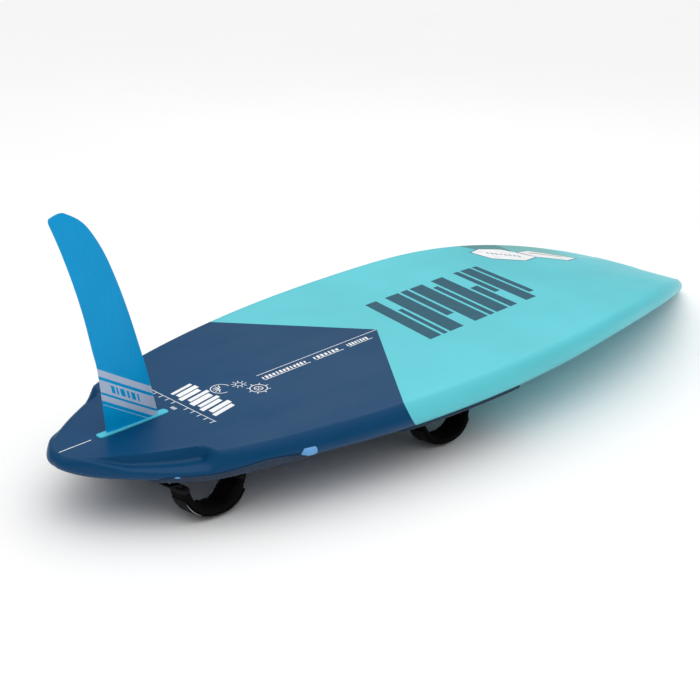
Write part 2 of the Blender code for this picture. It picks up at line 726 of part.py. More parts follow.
def build_strap(place, side, hand, hull, pad):
    frame = strap_frame(place, side)
    tag = f"{place}_{hand}"

    def put(name, mesh, finish):
        mesh.transform(frame)
        return add_object(name, mesh, finish)

    path = strap_path(place)
    web = put(f"strap_webbing_{tag}", loft("webbing", band(
        path, lambda s: WEB_WIDTH, lambda s: WEB_THICK, SQUARE)), "webbing")

    def cover_width(s):
        return COVER_WIDTH - 0.015 * abs(2 * s - 1) ** 2.2

    def cover_thick(s):
        return COVER_THICK - 0.0030 * abs(2 * s - 1) ** 2

    ends = slice(3, -3)
    put(f"strap_cover_{tag}", sleeve("cover", band(path, cover_width, cover_thick)[ends],
                                     band(path, lambda s: WEB_WIDTH + 0.0066,
                                          lambda s: WEB_THICK + 0.0016)[ends]), "strap_black")
    base = path[0][1]
    top = base + WEB_THICK / 2 + GAP
    head = top + 0.0020 + GAP
    ways, holes, rooms = [], [], []
    for u, end in ((-FOOT_U, "aft"), (FOOT_U, "fore")):
        washer = put(f"strap_washer_{tag}_{end}", loft("washer", [
            rounded_rectangle((u, 0), 0.020, 0.030, z, 0.004) for z in (top, top + 0.0020)]),
            "box_plastic")
        put(f"strap_screw_{tag}_{end}", turned("screw", [
            (0.0018, -0.0170), (0.0025, -0.0150), (0.0025, head), (0.0055, head),
            (0.0055, head + 0.0014), (0.0040, head + 0.0030)], (u, 0), 12), "steel")
        insert = put(f"strap_insert_{tag}_{end}", loft("insert", [
            rounded_rectangle((u, 0), 0.060, 0.016, z, 0.0078) for z in (-0.026, -0.0012)]),
            "box_plastic")
        way = as_cutter(put(f"screw_way_{tag}_{end}", turned("way", [
            (0.0029, -0.0180), (0.0029, 0.04)], (u, 0), 12), None))
        cut(washer, way)
        cut(insert, way)
        ways.append(way)
        spare = joined("holes", [turned("hole", [(0.0026, -0.0180), (0.0026, 0.01)], (u + du, 0), 8)
                                 for du in (-0.020, 0.020)])
        cut(insert, as_cutter(put(f"spare_holes_{tag}_{end}", spare, None)))
        rooms.append(loft("room", [
            rounded_rectangle((u, 0), 0.060 + 2 * GAP, 0.016 + 2 * GAP, z, 0.0078)
            for z in (-0.026 - GAP, 0.012)]))
    for way in ways:
        cut(web, way)
    room = as_cutter(put(f"insert_room_{tag}", joined("rooms", rooms), None))
    for part in (hull["deck_shell"], hull["foam_core"], pad):
        cut(part, room)


# ---- the whole board --------------------------------------------------------
def lay_down(root):
    """Pitch the board onto its rest plane and centre its box over the origin."""
    root.rotation_euler = (0, math.atan(REST_SLOPE), 0)
    bpy.context.view_layer.update()
    points = []
    scene = bpy.context.evaluated_depsgraph_get()
    for obj in bpy.data.objects:
        if obj.type == "MESH" and not obj.hide_render:
            shaped = obj.evaluated_get(scene)
            points += [shaped.matrix_world @ v.co for v in shaped.data.vertices]
    low = [min(p[k] for p in points) for k in range(3)]
    high = [max(p[k] for p in points) for k in range(3)]
    root.location = (-(low[0] + high[0]) / 2, -(low[1] + high[1]) / 2, -low[2])
    bpy.context.view_layer.update()


def main():
    clear_scene()
    root = bpy.data.objects.new("board_frame", None)
    bpy.context.collection.objects.link(root)
    hull = build_hull()
    seat = build_fin_box(hull)
    build_fin()
    build_fin_bolt(seat)
    build_mast_track(hull)
    build_vent(hull)
    pads = build_pads()
    for place in STRAPS:
        for side, hand in ((1, "left"), (-1, "right")):
            build_strap(place, side, hand, hull, pads[place, hand])
    lay_down(root)


main()
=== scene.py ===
"""Looks of the windsurf board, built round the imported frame: a painted hull with its
graphics, a moulded fin, padded foot straps, grooved deck pads and the deck's fittings.

Every piece is modelled in the board's own axes (x from the tail to the nose, y across,
z out of the flat bottom, in metres) and then laid where the frame's joints and mounts
put the board. A foot strap is modelled in axes of its own, found from its washers.
"""

import json
import math

import bmesh
import bpy
import numpy as np
from mathutils import Matrix, Vector, noise


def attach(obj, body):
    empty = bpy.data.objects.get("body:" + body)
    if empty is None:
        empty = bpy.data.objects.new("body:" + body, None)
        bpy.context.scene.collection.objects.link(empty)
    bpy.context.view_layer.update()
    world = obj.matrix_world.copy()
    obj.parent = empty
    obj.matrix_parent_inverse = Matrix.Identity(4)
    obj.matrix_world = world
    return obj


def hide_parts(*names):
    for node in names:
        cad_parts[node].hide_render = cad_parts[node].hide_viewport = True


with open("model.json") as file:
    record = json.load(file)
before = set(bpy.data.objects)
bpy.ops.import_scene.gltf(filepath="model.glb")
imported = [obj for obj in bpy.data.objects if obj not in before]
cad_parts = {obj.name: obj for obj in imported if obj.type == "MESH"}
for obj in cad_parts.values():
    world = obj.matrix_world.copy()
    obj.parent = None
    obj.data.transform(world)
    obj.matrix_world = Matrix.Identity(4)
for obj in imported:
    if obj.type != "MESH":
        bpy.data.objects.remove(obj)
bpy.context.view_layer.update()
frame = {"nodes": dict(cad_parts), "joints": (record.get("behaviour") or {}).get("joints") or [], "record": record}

# ---- the board's form in metres, after the frame; the cutaways fade out sooner towards
# the tail than the frame's, and the pads are 1 mm thicker and reach a little further ----
LENGTH, HALF_WIDTH, WIDEST_X = 2.342, 0.358, 1.069
TAIL_HALF_WIDTH = 0.119     # of the tail's curve, before its corners are rounded off
NOSE_POWER, TAIL_POWER = 2.37, 2.20
TAIL_ROUND, NOSE_ROUND = 0.30, 0.035
NOSE_SPREAD = 0.008         # how much the nose is filled out beyond its curve
SCOOP_START, SCOOP_RISE, SCOOP_POWER = 1.281, 0.246, 2.155
THICKNESS = [(0.0, 0.034), (0.06, 0.054), (0.2, 0.078), (0.5, 0.102), (0.9, 0.118),
             (1.3, 0.116), (1.7, 0.096), (2.05, 0.066), (2.25, 0.044), (2.342, 0.022)]
RAIL_BULGE, RAIL_DEPTH = 0.15, 0.33   # the widest line's reach and depth, over the thickness
DECK_POWER_Y, DECK_POWER_Z = 2.25, 2.0
CUT_END, CUT_FADE = 0.220, 0.013      # where the cutaways end, and the step's length
CUT_EDGE, CUT_SLOPE = 0.168, 0.41     # their inner edge there, and how it closes in aft
CUT_DROP = 0.026            # their depth
CUT_FROM, CUT_RUN = 0.022, 0.085      # where they start at the tail, and how long they deepen
CUT_SKEW = 0.21             # how far the cutaway's front end leans forward, per metre outboard
GAP = 0.0003                # clearance between fitted pieces
LAMINATE = 0.0011           # thickness of the painted laminate

FIN_X = 0.192
HEAD_LENGTH, HEAD_WIDTH, HEAD_DEPTH = 0.172, 0.020, 0.050
HEAD_TAPER, HEAD_PROUD = 0.006, 0.003
HEAD_CORNER = 0.0065
TENON_LENGTH, TENON_WIDTH, TENON_DEPTH, TENON_CORNER = 0.096, 0.0052, 0.0170, 0.0020
NUT_Z, NUT_RADIUS, NUT_LENGTH = -0.030, 0.0060, 0.013
BOLT_RADIUS, BOLT_WAY = 0.0030, 0.0036
TRACK_X, TRACK_LENGTH, TRACK_WIDTH, TRACK_DEPTH = 1.26, 0.300, 0.046, 0.042
SLOT_LENGTH, SLOT_WIDTH, CHANNEL_WIDTH = 0.262, 0.010, 0.026
VENT_X = 1.02
PAD_THICK = 0.0060
SCREW_RADIUS, SCREW_HOLE = 0.0025, 0.0031
SPARE_HOLE_PITCH = 0.020    # a spare insert hole lies this far to each side of a strap screw

STRAP_HALF = 0.074
FOOT_U = STRAP_HALF + 0.017
FOOT_LENGTH = 0.030
WEB_WIDTH, WEB_THICK = 0.038, 0.003
WEB_BASE = 0.0086           # height of the webbing's middle line over the deck, at its feet
COVER_WIDTH, COVER_THICK = 0.066, 0.0150
STRAPS = ("front_left", "front_right", "rear_left", "rear_right")

# ---- the paint's layout on the bottom ------------------------------------------
PAINT_APEX = Vector((0.9135, 0.0, 0.0))       # the two tones meet in a V with this apex
PAINT_EDGE = Vector((0.654, 0.327, 0.0))      # the V's end at the bottom's edge
PAINT_RAIL = Vector((0.665, 0.344, -0.038))   # and on the rail's widest line


def board_matrix():
    """The board's axes in the row frame: the fin slides out along z, and the mount on
    the planing bottom gives the place."""
    up = Vector(next(j for j in frame["joints"] if j["name"] == "fin_slide")["axis"]).normalized()
    along = Vector((up.z, 0, -up.x))
    mount = next(m for m in frame["record"]["mounts"] if m["name"] == "planing_bottom")
    matrix = Matrix((along, Vector((0, 1, 0)), up)).transposed().to_4x4()
    matrix.translation = Vector(mount["pos_m"]) - matrix.to_3x3() @ Vector((0.72, 0.08, 0.0))
    return matrix


BOARD = board_matrix()


# ---- the hull's form --------------------------------------------------------------
def smooth_step(t):
    t = min(max(t, 0.0), 1.0)
    return t * t * (3 - 2 * t)


def smooth_curve(points, t):
    """Catmull-Rom point at t (0 to 1) on a curve through points."""
    spans = len(points) - 1
    k = min(int(t * spans), spans - 1)
    u = t * spans - k
    a, b, c, d = (Vector(points[min(max(k + o, 0), spans)]) for o in (-1, 0, 1, 2))
    return 0.5 * (2 * b + (c - a) * u + (2 * a - 5 * b + 4 * c - d) * u ** 2
                  + (3 * b - a - 3 * c + d) * u ** 3)


def thickness(x):
    """Hull thickness on the centre line: a smooth curve through THICKNESS."""
    x = min(max(x, 0.0), LENGTH)
    k = max(i for i in range(len(THICKNESS) - 1) if THICKNESS[i][0] <= x)
    (x0, t0), (x1, t1) = THICKNESS[k], THICKNESS[k + 1]

    def slope(i):
        low, high = THICKNESS[max(i - 1, 0)], THICKNESS[min(i + 1, len(THICKNESS) - 1)]
        return (high[1] - low[1]) / (high[0] - low[0])

    h = x1 - x0
    u = (x - x0) / h
    return (t0 * (1 + 2 * u) * (1 - u) ** 2 + slope(k) * h * u * (1 - u) ** 2
            + t1 * u * u * (3 - 2 * u) + slope(k + 1) * h * u * u * (u - 1))


def bottom_z(x):
    run = max(0.0, (x - SCOOP_START) / (LENGTH - SCOOP_START))
    return -SCOOP_RISE * run ** SCOOP_POWER


def deck_z(x):
    return bottom_z(x) - thickness(x)


def half_width(x):
    """Half width of the bottom, with the tail and nose rounded off."""
    if x > WIDEST_X:
        width = HALF_WIDTH * (1 - ((x - WIDEST_X) / (LENGTH - WIDEST_X)) ** NOSE_POWER)
    else:
        aft = ((WIDEST_X - x) / WIDEST_X) ** TAIL_POWER
        width = HALF_WIDTH - (HALF_WIDTH - TAIL_HALF_WIDTH) * aft
    if x < TAIL_ROUND:
        width *= (1 - (1 - x / TAIL_ROUND) ** 2.0) ** 0.52 * 0.97 + 0.03
    if x > LENGTH - NOSE_ROUND:
        width += NOSE_SPREAD * math.sqrt(max(0.0, 1 - ((x - LENGTH + NOSE_ROUND) / NOSE_ROUND) ** 2))
    elif x > LENGTH - 4 * NOSE_ROUND:
        width += NOSE_SPREAD * smooth_step((x - LENGTH + 4 * NOSE_ROUND) / (3 * NOSE_ROUND))
    return max(width, 0.003)


def rail_depth(x):
    """Depth of the rail's widest line under the bottom; it drops beside the cutaways."""
    return thickness(x) * (RAIL_DEPTH + 0.20 * smooth_step((0.34 - x) / 0.14))


def rail_reach(x):
    return half_width(x) + RAIL_BULGE * thickness(x)


def soft_edge(x):
    """How far in from the bottom's edge it starts to round over."""
    soft = 0.006 + 0.016 * smooth_step((x - 0.9) / 1.2)
    return min(soft, 0.3 * half_width(x), 0.25 * thickness(x))


FLAT_STEPS, FLOOR_STEPS, RAIL_STEPS, DECK_STEPS = 9, 4, 12, 24
GRIP_FROM = 4               # deck steps from the rail to where the grip paint starts
# the cutaway's wall: reach outboard, as a share of its run, and fall, as a share of its drop
WALL = [(0.0, 0.0), (0.08, 0.015), (0.20, 0.14), (0.36, 0.46), (0.52, 0.76), (0.72, 0.93), (1.0, 1.0)]
WALL_RUN = 0.016


def half_section(x):
    """(y, z) points from the keel line round the rail to the deck's centre line. Where
    the cutaway is, the flat drops over a wall to a lower floor."""
    width, thick = half_width(x), thickness(x)
    soft, reach, depth = soft_edge(x), rail_reach(x), rail_depth(x)
    drop = CUT_DROP * (0.45 + 0.55 * min(x / 0.18, 1.0)) * smooth_step((x - CUT_FROM) / CUT_RUN)
    edge = min(CUT_EDGE - CUT_SLOPE * (CUT_END - x), 0.80 * width)
    run = min(WALL_RUN, 0.10 * width)
    brim = edge + run + 0.40 * (width - edge - run)
    crisp = 1 + 0.45 * smooth_step((1.30 - x) / 0.6)
    plain, low = [], []
    for i in range(FLAT_STEPS):
        plain.append((edge * i / FLAT_STEPS, 0.0))
        low.append(plain[-1])
    for out, fall in WALL:
        plain.append((edge + run * out, 0.0))
        low.append((edge + run * out, -drop * fall))
    for i in range(1, FLOOR_STEPS + 1):
        share = i / FLOOR_STEPS
        plain.append((edge + run + (width - soft - edge - run) * share, 0.0))
        low.append((edge + run + (brim - edge - run) * share, -drop - 0.001 * share))
    for i in range(1, RAIL_STEPS + 1):
        a = math.pi / 2 * i / RAIL_STEPS
        plain.append((width - soft + (reach - width + soft) * math.sin(a) ** crisp,
                      -depth * (1 - max(math.cos(a), 0.0) ** crisp)))
        low.append((brim + (reach - brim) * math.sin(a),
                    -drop - 0.001 - (depth - drop - 0.001) * (1 - math.cos(a))))
    points = []
    for (y, z), (y_low, z_low) in zip(plain, low):
        front = CUT_END + CUT_FADE + CUT_SKEW * (y - CUT_EDGE)
        fade = CUT_FADE + 0.5 * max(0.0, y - edge - run)
        deep = smooth_step((front - x) / fade)
        points.append((y + (y_low - y) * deep, z + (z_low - z) * deep))
    for i in range(1, DECK_STEPS + 1):
        a = math.pi / 2 * i / DECK_STEPS
        y = reach * math.cos(a) ** (2 / DECK_POWER_Y) if i < DECK_STEPS else 0.0
        points.append((y, -depth - (thick - depth) * math.sin(a) ** (2 / DECK_POWER_Z)))
    return [(y, z + bottom_z(x)) for y, z in points]


SEAM = FLAT_STEPS + len(WALL) + FLOOR_STEPS + RAIL_STEPS - 1     # the rail's widest line


def stations():
    """Section positions, close together at the ends and over the cutaway's front end."""
    tail = [0.15 * (i / 40) ** 2 for i in range(41)]
    step = [0.154 + 0.004 * i for i in range(9)] + [0.188 + 0.002 * i for i in range(36)]
    first, last = 0.270, LENGTH - 0.12
    middle = [first + (last - first) * i / 150 for i in range(150)]
    nose = [LENGTH - 0.12 * (1 - i / 30) ** 1.9 for i in range(31)]
    return tail + step + middle + nose


def hull_loop(x):
    """The whole closed section at x; at both ends it is rounded off, seen from the side."""
    half = half_section(x)
    seam_z, top, low = half[SEAM][1], half[0][1], half[-1][1]
    near = min(x, LENGTH - x) / 0.05
    pull = 0.012 * max(0.0, 1 - near) ** 2 * (1 if x < 1 else -1)
    whole = 0.0 if x < 1 else 0.5           # share of the pull that the widest line takes too
    loop = []
    for y, z in half + half[-2:0:-1]:
        t = (z - seam_z) / (top - seam_z) if z > seam_z else (z - seam_z) / (low - seam_z)
        loop.append((x + pull * (whole + (1 - whole) * t * t), y, z))
    for k in range(len(half), len(loop)):
        loop[k] = (loop[k][0], -loop[k][1], loop[k][2])
    return loop


# ---- mesh tools -------------------------------------------------------------------
def piece(name, bm, finishes, body, place=BOARD, smooth=35.0, stands_for=(), recalc=True):
    """A finished piece from a bmesh in the axes of place, riding on a body; finishes are
    names from FINISHES."""
    if recalc:
        bmesh.ops.recalc_face_normals(bm, faces=bm.faces)
    mesh = bpy.data.meshes.new(name)
    bm.to_mesh(mesh)
    bm.free()
    mesh.transform(place)
    mesh.shade_smooth()
    mesh.set_sharp_from_angle(angle=math.radians(smooth))
    for finish in finishes:
        mesh.materials.append(FINISHES[finish])
    obj = bpy.data.objects.new(name, mesh)
    bpy.context.scene.collection.objects.link(obj)
    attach(obj, body)
    if stands_for:
        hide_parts(*stands_for)
    return obj


def loft(loops, finish=0, closed_ends=True):
    """A bmesh solid through loops of points with the same count."""
    bm = bmesh.new()
    rows = [[bm.verts.new(p) for p in loop] for loop in loops]
    count = len(loops[0])
    for low, high in zip(rows, rows[1:]):
        for j in range(count):
            k = (j + 1) % count
            bm.faces.new((low[j], low[k], high[k], high[j])).material_index = finish
    if closed_ends:
        bm.faces.new(rows[0][::-1]).material_index = finish
        bm.faces.new(rows[-1]).material_index = finish
    bmesh.ops.recalc_face_normals(bm, faces=bm.faces)
    return bm


def merge(*parts):
    """One bmesh out of several."""
    out = bmesh.new()
    for part in parts:
        mesh = bpy.data.meshes.new("part")
        part.to_mesh(mesh)
        part.free()
        out.from_mesh(mesh)
        bpy.data.meshes.remove(mesh)
    return out


def shaped(bm, slots, build):
    """bm as the modifiers leave it that build adds to an object made from it."""
    mesh = bpy.data.meshes.new("work")
    bm.to_mesh(mesh)
    bm.free()
    for _ in range(slots):
        mesh.materials.append(None)
    obj = bpy.data.objects.new("work", mesh)
    bpy.context.scene.collection.objects.link(obj)
    others = build(obj) or []
    graph = bpy.context.evaluated_depsgraph_get()
    evaluated = obj.evaluated_get(graph)
    made = evaluated.to_mesh()
    out = bmesh.new()
    out.from_mesh(made)
    evaluated.to_mesh_clear()
    for old in [obj] + others:
        data = old.data
        bpy.data.objects.remove(old)
        bpy.data.meshes.remove(data)
    return out


def add_boolean(obj, other, operation, slots=0):
    """Adds a boolean modifier with a bmesh that it uses up, and returns the tool object."""
    mesh = bpy.data.meshes.new("tool")
    other.to_mesh(mesh)
    other.free()
    for _ in range(slots):
        mesh.materials.append(None)
    tool = bpy.data.objects.new("tool", mesh)
    bpy.context.scene.collection.objects.link(tool)
    boolean = obj.modifiers.new("boolean", "BOOLEAN")
    boolean.operation = operation
    boolean.solver = "EXACT"
    boolean.object = tool
    return tool


def carved(bm, cutters, slots=1, open_cuts=False):
    """bm less each cutter. With open_cuts, the faces the cutters leave are deleted."""
    for cutter in cutters:
        if open_cuts:
            for face in cutter.faces:
                face.material_index = slots
        bm = shaped(bm, slots + 1, lambda obj: [add_boolean(obj, cutter, "DIFFERENCE", slots + 1)])
    if open_cuts:
        bmesh.ops.delete(bm, geom=[f for f in bm.faces if f.material_index == slots], context="FACES")
    return bm


def bevelled(bm, width, segments=2, angle=40):
    """bm with its sharp edges rounded."""
    edges = [e for e in bm.edges if len(e.link_faces) == 2
             and e.calc_face_angle(0) > math.radians(angle)]
    bmesh.ops.bevel(bm, geom=edges, offset=width, segments=segments, profile=0.5,
                    affect="EDGES", clamp_overlap=True)
    return bm


def circle(centre, radius, z, count=48):
    turn = 2 * math.pi / count
    return [(centre[0] + radius * math.cos(turn * i), centre[1] + radius * math.sin(turn * i), z)
            for i in range(count)]


def rounded_rectangle(centre, length, width, z, radius, per_corner=8):
    """Points round a rectangle with round corners, the same number on each corner."""
    points = []
    for corner in range(4):
        sx = 1 if corner in (0, 3) else -1
        sy = 1 if corner in (0, 1) else -1
        for i in range(per_corner):
            angle = math.pi / 2 * (corner + i / (per_corner - 1))
            points.append((centre[0] + sx * (length / 2 - radius) + radius * math.cos(angle),
                           centre[1] + sy * (width / 2 - radius) + radius * math.sin(angle), z))
    return points


def turned(profile, centre=(0, 0), count=48):
    """A solid of revolution about the z line through centre, from (radius, z) pairs."""
    return loft([circle(centre, radius, z, count) for radius, z in profile])


def cross_cylinder(centre, radius, length, count=32):
    """A cylinder across the board."""
    turn = 2 * math.pi / count
    return loft([[(centre[0] + radius * math.sin(turn * i), centre[1] + y,
                   centre[2] + radius * math.cos(turn * i)) for i in range(count)]
                 for y in (-length / 2, length / 2)])


def sheet_solid(top, low):
    """A closed sheet between two grids of points of the same shape."""
    bm = bmesh.new()
    a = [[bm.verts.new(p) for p in row] for row in top]
    b = [[bm.verts.new(p) for p in row] for row in low]
    rows, columns = len(top), len(top[0])
    for i in range(rows - 1):
        for j in range(columns - 1):
            bm.faces.new((a[i][j], a[i][j + 1], a[i + 1][j + 1], a[i + 1][j]))
            bm.faces.new((b[i][j], b[i + 1][j], b[i + 1][j + 1], b[i][j + 1]))
    rim = [(0, j) for j in range(columns)] + [(i, columns - 1) for i in range(1, rows)]
    rim += [(rows - 1, j) for j in range(columns - 2, -1, -1)] + [(i, 0) for i in range(rows - 2, 0, -1)]
    for (i, j), (m, n) in zip(rim, rim[1:] + rim[:1]):
        bm.faces.new((a[m][n], a[i][j], b[i][j], b[m][n]))
    bmesh.ops.recalc_face_normals(bm, faces=bm.faces)
    return bm


# ---- materials --------------------------------------------------------------------
class Finish:
    """A Principled material whose colour, roughness and bump come from noise and waves
    in the piece's own coordinates, in metres."""

    def __init__(self, name, colour, roughness, metallic=0.0, **shader):
        self.material = bpy.data.materials.new(name)
        self.material.use_nodes = True
        self.nodes = self.material.node_tree.nodes
        self.links = self.material.node_tree.links
        self.shader = self.nodes["Principled BSDF"]
        self.colour = self.rgb(colour)
        self.shader.inputs["Base Color"].default_value = (*self.colour, 1)
        self.shader.inputs["Roughness"].default_value = roughness
        self.shader.inputs["Metallic"].default_value = metallic
        for key, value in shader.items():
            self.shader.inputs[key.replace("_", " ")].default_value = value
        self.material.diffuse_color = (*self.colour, 1)
        self.place = self.node("ShaderNodeTexCoord").outputs["Object"]
        self.height = None

    @staticmethod
    def rgb(code):
        """Linear colour of a six-digit sRGB code."""
        parts = [int(code[i:i + 2], 16) / 255 for i in (0, 2, 4)]
        return [p / 12.92 if p <= 0.04045 else ((p + 0.055) / 1.055) ** 2.4 for p in parts]

    def node(self, kind, **values):
        made = self.nodes.new(kind)
        for key, value in values.items():
            setattr(made, key, value)
        return made

    def noise(self, scale, detail=2.0, stretch=(1, 1, 1), roughness=0.5):
        """Noise from 0 to 1 with scale features a metre."""
        mapping = self.node("ShaderNodeMapping")
        mapping.inputs["Scale"].default_value = stretch
        made = self.node("ShaderNodeTexNoise")
        made.inputs["Scale"].default_value = scale
        made.inputs["Detail"].default_value = detail
        made.inputs["Roughness"].default_value = roughness
        self.links.new(self.place, mapping.inputs["Vector"])
        self.links.new(mapping.outputs["Vector"], made.inputs["Vector"])
        return made.outputs["Fac"]

    def cells(self, scale):
        made = self.node("ShaderNodeTexVoronoi")
        made.inputs["Scale"].default_value = scale
        self.links.new(self.place, made.inputs["Vector"])
        return made.outputs["Distance"]

    def waves(self, scale, direction):
        made = self.node("ShaderNodeTexWave", bands_direction=direction)
        made.inputs["Scale"].default_value = scale
        made.inputs["Distortion"].default_value = 0.4
        made.inputs["Detail Scale"].default_value = 2.0
        self.links.new(self.place, made.inputs["Vector"])
        return made.outputs["Fac"]

    def ramp(self, source, low, high, start=0.3, end=0.7):
        """Maps source from start to end onto the values or colours low to high."""
        made = self.node("ShaderNodeValToRGB")
        first, last = made.color_ramp.elements
        first.position, last.position = start, end
        first.color = (*low, 1) if isinstance(low, (list, tuple)) else (low, low, low, 1)
        last.color = (*high, 1) if isinstance(high, (list, tuple)) else (high, high, high, 1)
        self.links.new(source, made.inputs["Fac"])
        return made.outputs["Color"]

    def mixed(self, share, first, second):
        made = self.node("ShaderNodeMix", data_type="RGBA")
        self.links.new(share, made.inputs["Factor"])
        for socket, value in ((made.inputs[6], first), (made.inputs[7], second)):
            if isinstance(value, (list, tuple)):
                socket.default_value = (*value, 1)
            else:
                self.links.new(value, socket)
        return made.outputs[2]

    def tone(self, amount, scale, detail=3.0, stretch=(1, 1, 1)):
        """Drifts the colour by amount of itself, up and down."""
        low = [c * (1 - amount) for c in self.colour]
        high = [min(c * (1 + amount), 1.0) for c in self.colour]
        out = self.ramp(self.noise(scale, detail, stretch), low, high)
        self.links.new(out, self.shader.inputs["Base Color"])
        return self

    def gloss(self, low, high, scale, stretch=(1, 1, 1)):
        """Drifts the roughness between two values."""
        self.links.new(self.ramp(self.noise(scale, 4.0, stretch), low, high),
                       self.shader.inputs["Roughness"])
        return self

    def bump(self, source, height):
        """Adds height metres of relief from source."""
        made = self.node("ShaderNodeBump")
        made.inputs["Strength"].default_value = 1.0
        made.inputs["Distance"].default_value = height
        self.links.new(source, made.inputs["Height"])
        if self.height:
            self.links.new(self.height, made.inputs["Normal"])
        self.height = made.outputs["Normal"]
        self.links.new(self.height, self.shader.inputs["Normal"])
        return self


def paint(name, colour, roughness=0.34):
    """Satin paint over laminate: slow tone drift, faint orange peel, fine dust and scuffs
    that run along the board."""
    made = Finish(name, colour, roughness, Specular_IOR_Level=0.15)
    drift = made.ramp(made.noise(3.5, 3.0), [c * 0.95 for c in made.colour],
                      [min(c * 1.05, 1.0) for c in made.colour])
    scuff = made.ramp(made.noise(42.0, 6.0, (0.10, 1.5, 1.5), 0.65), 0.0, 0.05, 0.66, 0.80)
    pale = [min(c * 0.8 + 0.20, 1.0) for c in made.colour]
    made.links.new(made.mixed(scuff, drift, pale), made.shader.inputs["Base Color"])
    made.gloss(roughness - 0.05, roughness + 0.09, 14.0, (0.4, 1, 1))
    made.bump(made.noise(260.0, 2.0), 0.00003)
    made.bump(made.noise(2.2, 2.0), 0.0005)
    return made.material


def grip_paint(name, colour):
    """Non-slip deck paint: sharp grit under the colour."""
    made = Finish(name, colour, 0.78)
    made.tone(0.10, 5.0)
    made.bump(made.cells(900.0), 0.00025)
    made.bump(made.noise(420.0, 3.0), 0.00015)
    return made.material


def ink(name, colour, roughness=0.42):
    """Printed film: nearly even, a little worn."""
    made = Finish(name, colour, roughness, Specular_IOR_Level=0.15)
    made.tone(0.05, 30.0)
    made.gloss(roughness - 0.06, roughness + 0.08, 60.0)
    made.bump(made.noise(300.0), 0.00002)
    return made.material


def moulding(name, colour, roughness=0.36):
    """Moulded plastic or gel coat with fine grain and hairline scratches."""
    made = Finish(name, colour, roughness, Specular_IOR_Level=0.15)
    made.tone(0.03, 14.0)
    made.gloss(roughness - 0.06, roughness + 0.10, 90.0, (1, 1, 0.15))
    made.bump(made.noise(700.0, 3.0), 0.00003)
    return made.material


def metal(name, colour, roughness=0.3):
    """Turned metal with fine tool marks."""
    made = Finish(name, colour, roughness, metallic=1.0)
    made.tone(0.08, 220.0)
    made.gloss(roughness - 0.08, roughness + 0.12, 500.0, (1, 1, 8))
    made.bump(made.noise(900.0, 2.0, (1, 1, 6)), 0.00002)
    return made.material


def jersey(name, colour):
    """Brushed jersey over foam: a fine knit, soft folds and lint."""
    made = Finish(name, colour, 0.92, Specular_IOR_Level=0.14)
    made.tone(0.45, 60.0, 5.0)
    made.bump(made.waves(210.0, "X"), 0.00012)
    made.bump(made.waves(210.0, "Y"), 0.00012)
    made.bump(made.waves(210.0, "Z"), 0.00012)
    made.bump(made.noise(1400.0, 3.0), 0.00010)
    return made.material


def hook_tape(name, colour):
    """The closing flap's face: a tight pile, coarser than the jersey."""
    made = Finish(name, colour, 0.95, Specular_IOR_Level=0.15, Sheen_Weight=0.03)
    made.tone(0.3, 90.0, 4.0)
    made.bump(made.cells(1300.0), 0.00030)
    return made.material


def woven(name, colour):
    """Flat woven webbing."""
    made = Finish(name, colour, 0.75, Specular_IOR_Level=0.2)
    made.tone(0.25, 120.0)
    made.bump(made.waves(330.0, "DIAGONAL"), 0.00025)
    made.bump(made.noise(900.0, 2.0), 0.0001)
    return made.material


def foam_sheet(name, colour):
    """Closed-cell foam sheet with a brushed, slightly mottled skin."""
    made = Finish(name, colour, 0.85)
    made.tone(0.14, 22.0, 5.0)
    made.bump(made.cells(750.0), 0.00018)
    made.bump(made.noise(1600.0, 3.0), 0.00010)
    return made.material


def core_foam(name, colour):
    """Bead foam."""
    made = Finish(name, colour, 0.9)
    made.tone(0.04, 200.0)
    made.bump(made.cells(260.0), 0.0006)
    return made.material


FINISHES = {
    "navy": paint("navy_paint", "04426B"),
    "navy_grip": grip_paint("navy_grip", "0C3E63"),
    "turquoise": paint("turquoise_paint", "62CDD8"),
    "turquoise_grip": grip_paint("turquoise_grip", "57C3D0"),
    "teal_dark": paint("teal_dark_paint", "5A9799"),
    "teal_light": paint("teal_light_paint", "76BDBB"),
    "white": ink("white_ink", "F4F6F8"),
    "slate": ink("slate_ink", "275B6E"),
    "line_navy": ink("line_navy_ink", "24506F"),
    "line_sand": ink("line_sand_ink", "B7A99A"),
    "fin": moulding("fin_laminate", "009EDC", 0.30),
    "fin_band": ink("fin_band_ink", "B9C9E2"),
    "fin_line": ink("fin_line_ink", "A9D7F0"),
    "head": moulding("fin_head_moulding", "4FBFD6", 0.40),
    "black_plastic": moulding("black_moulding", "17181B", 0.48),
    "grey_plastic": moulding("grey_moulding", "3B4046", 0.50),
    "steel": metal("steel_turned", "C9CCD1", 0.28),
    "brass": metal("brass_turned", "C9A35A", 0.32),
    "rubber": moulding("ring_rubber", "151515", 0.75),
    "pad": foam_sheet("pad_foam", "22344A"),
    "pad_accent": foam_sheet("pad_accent_foam", "6FAEE8"),
    "jersey": jersey("strap_jersey", "030304"),
    "hook": hook_tape("strap_flap_pile", "0A0A0B"),
    "piping": moulding("flap_piping", "A9ADB3", 0.55),
    "thread": moulding("sewing_thread", "1D1E21", 0.7),
    "webbing": woven("strap_webbing", "0E0E10"),
    "core": core_foam("core_beads", "E7E7E1"),
}


# ---- hull -------------------------------------------------------------------------
def head_outline(z, extra=0.0):
    """The fin head's outline at depth z; it tapers towards the deck."""
    shrink = HEAD_TAPER * max(0.0, -z) / HEAD_DEPTH
    width = HEAD_WIDTH - shrink + 2 * extra
    return rounded_rectangle((FIN_X, 0), HEAD_LENGTH - shrink + 2 * extra, width, z,
                             min(HEAD_CORNER, width / 2 - 0.0002))


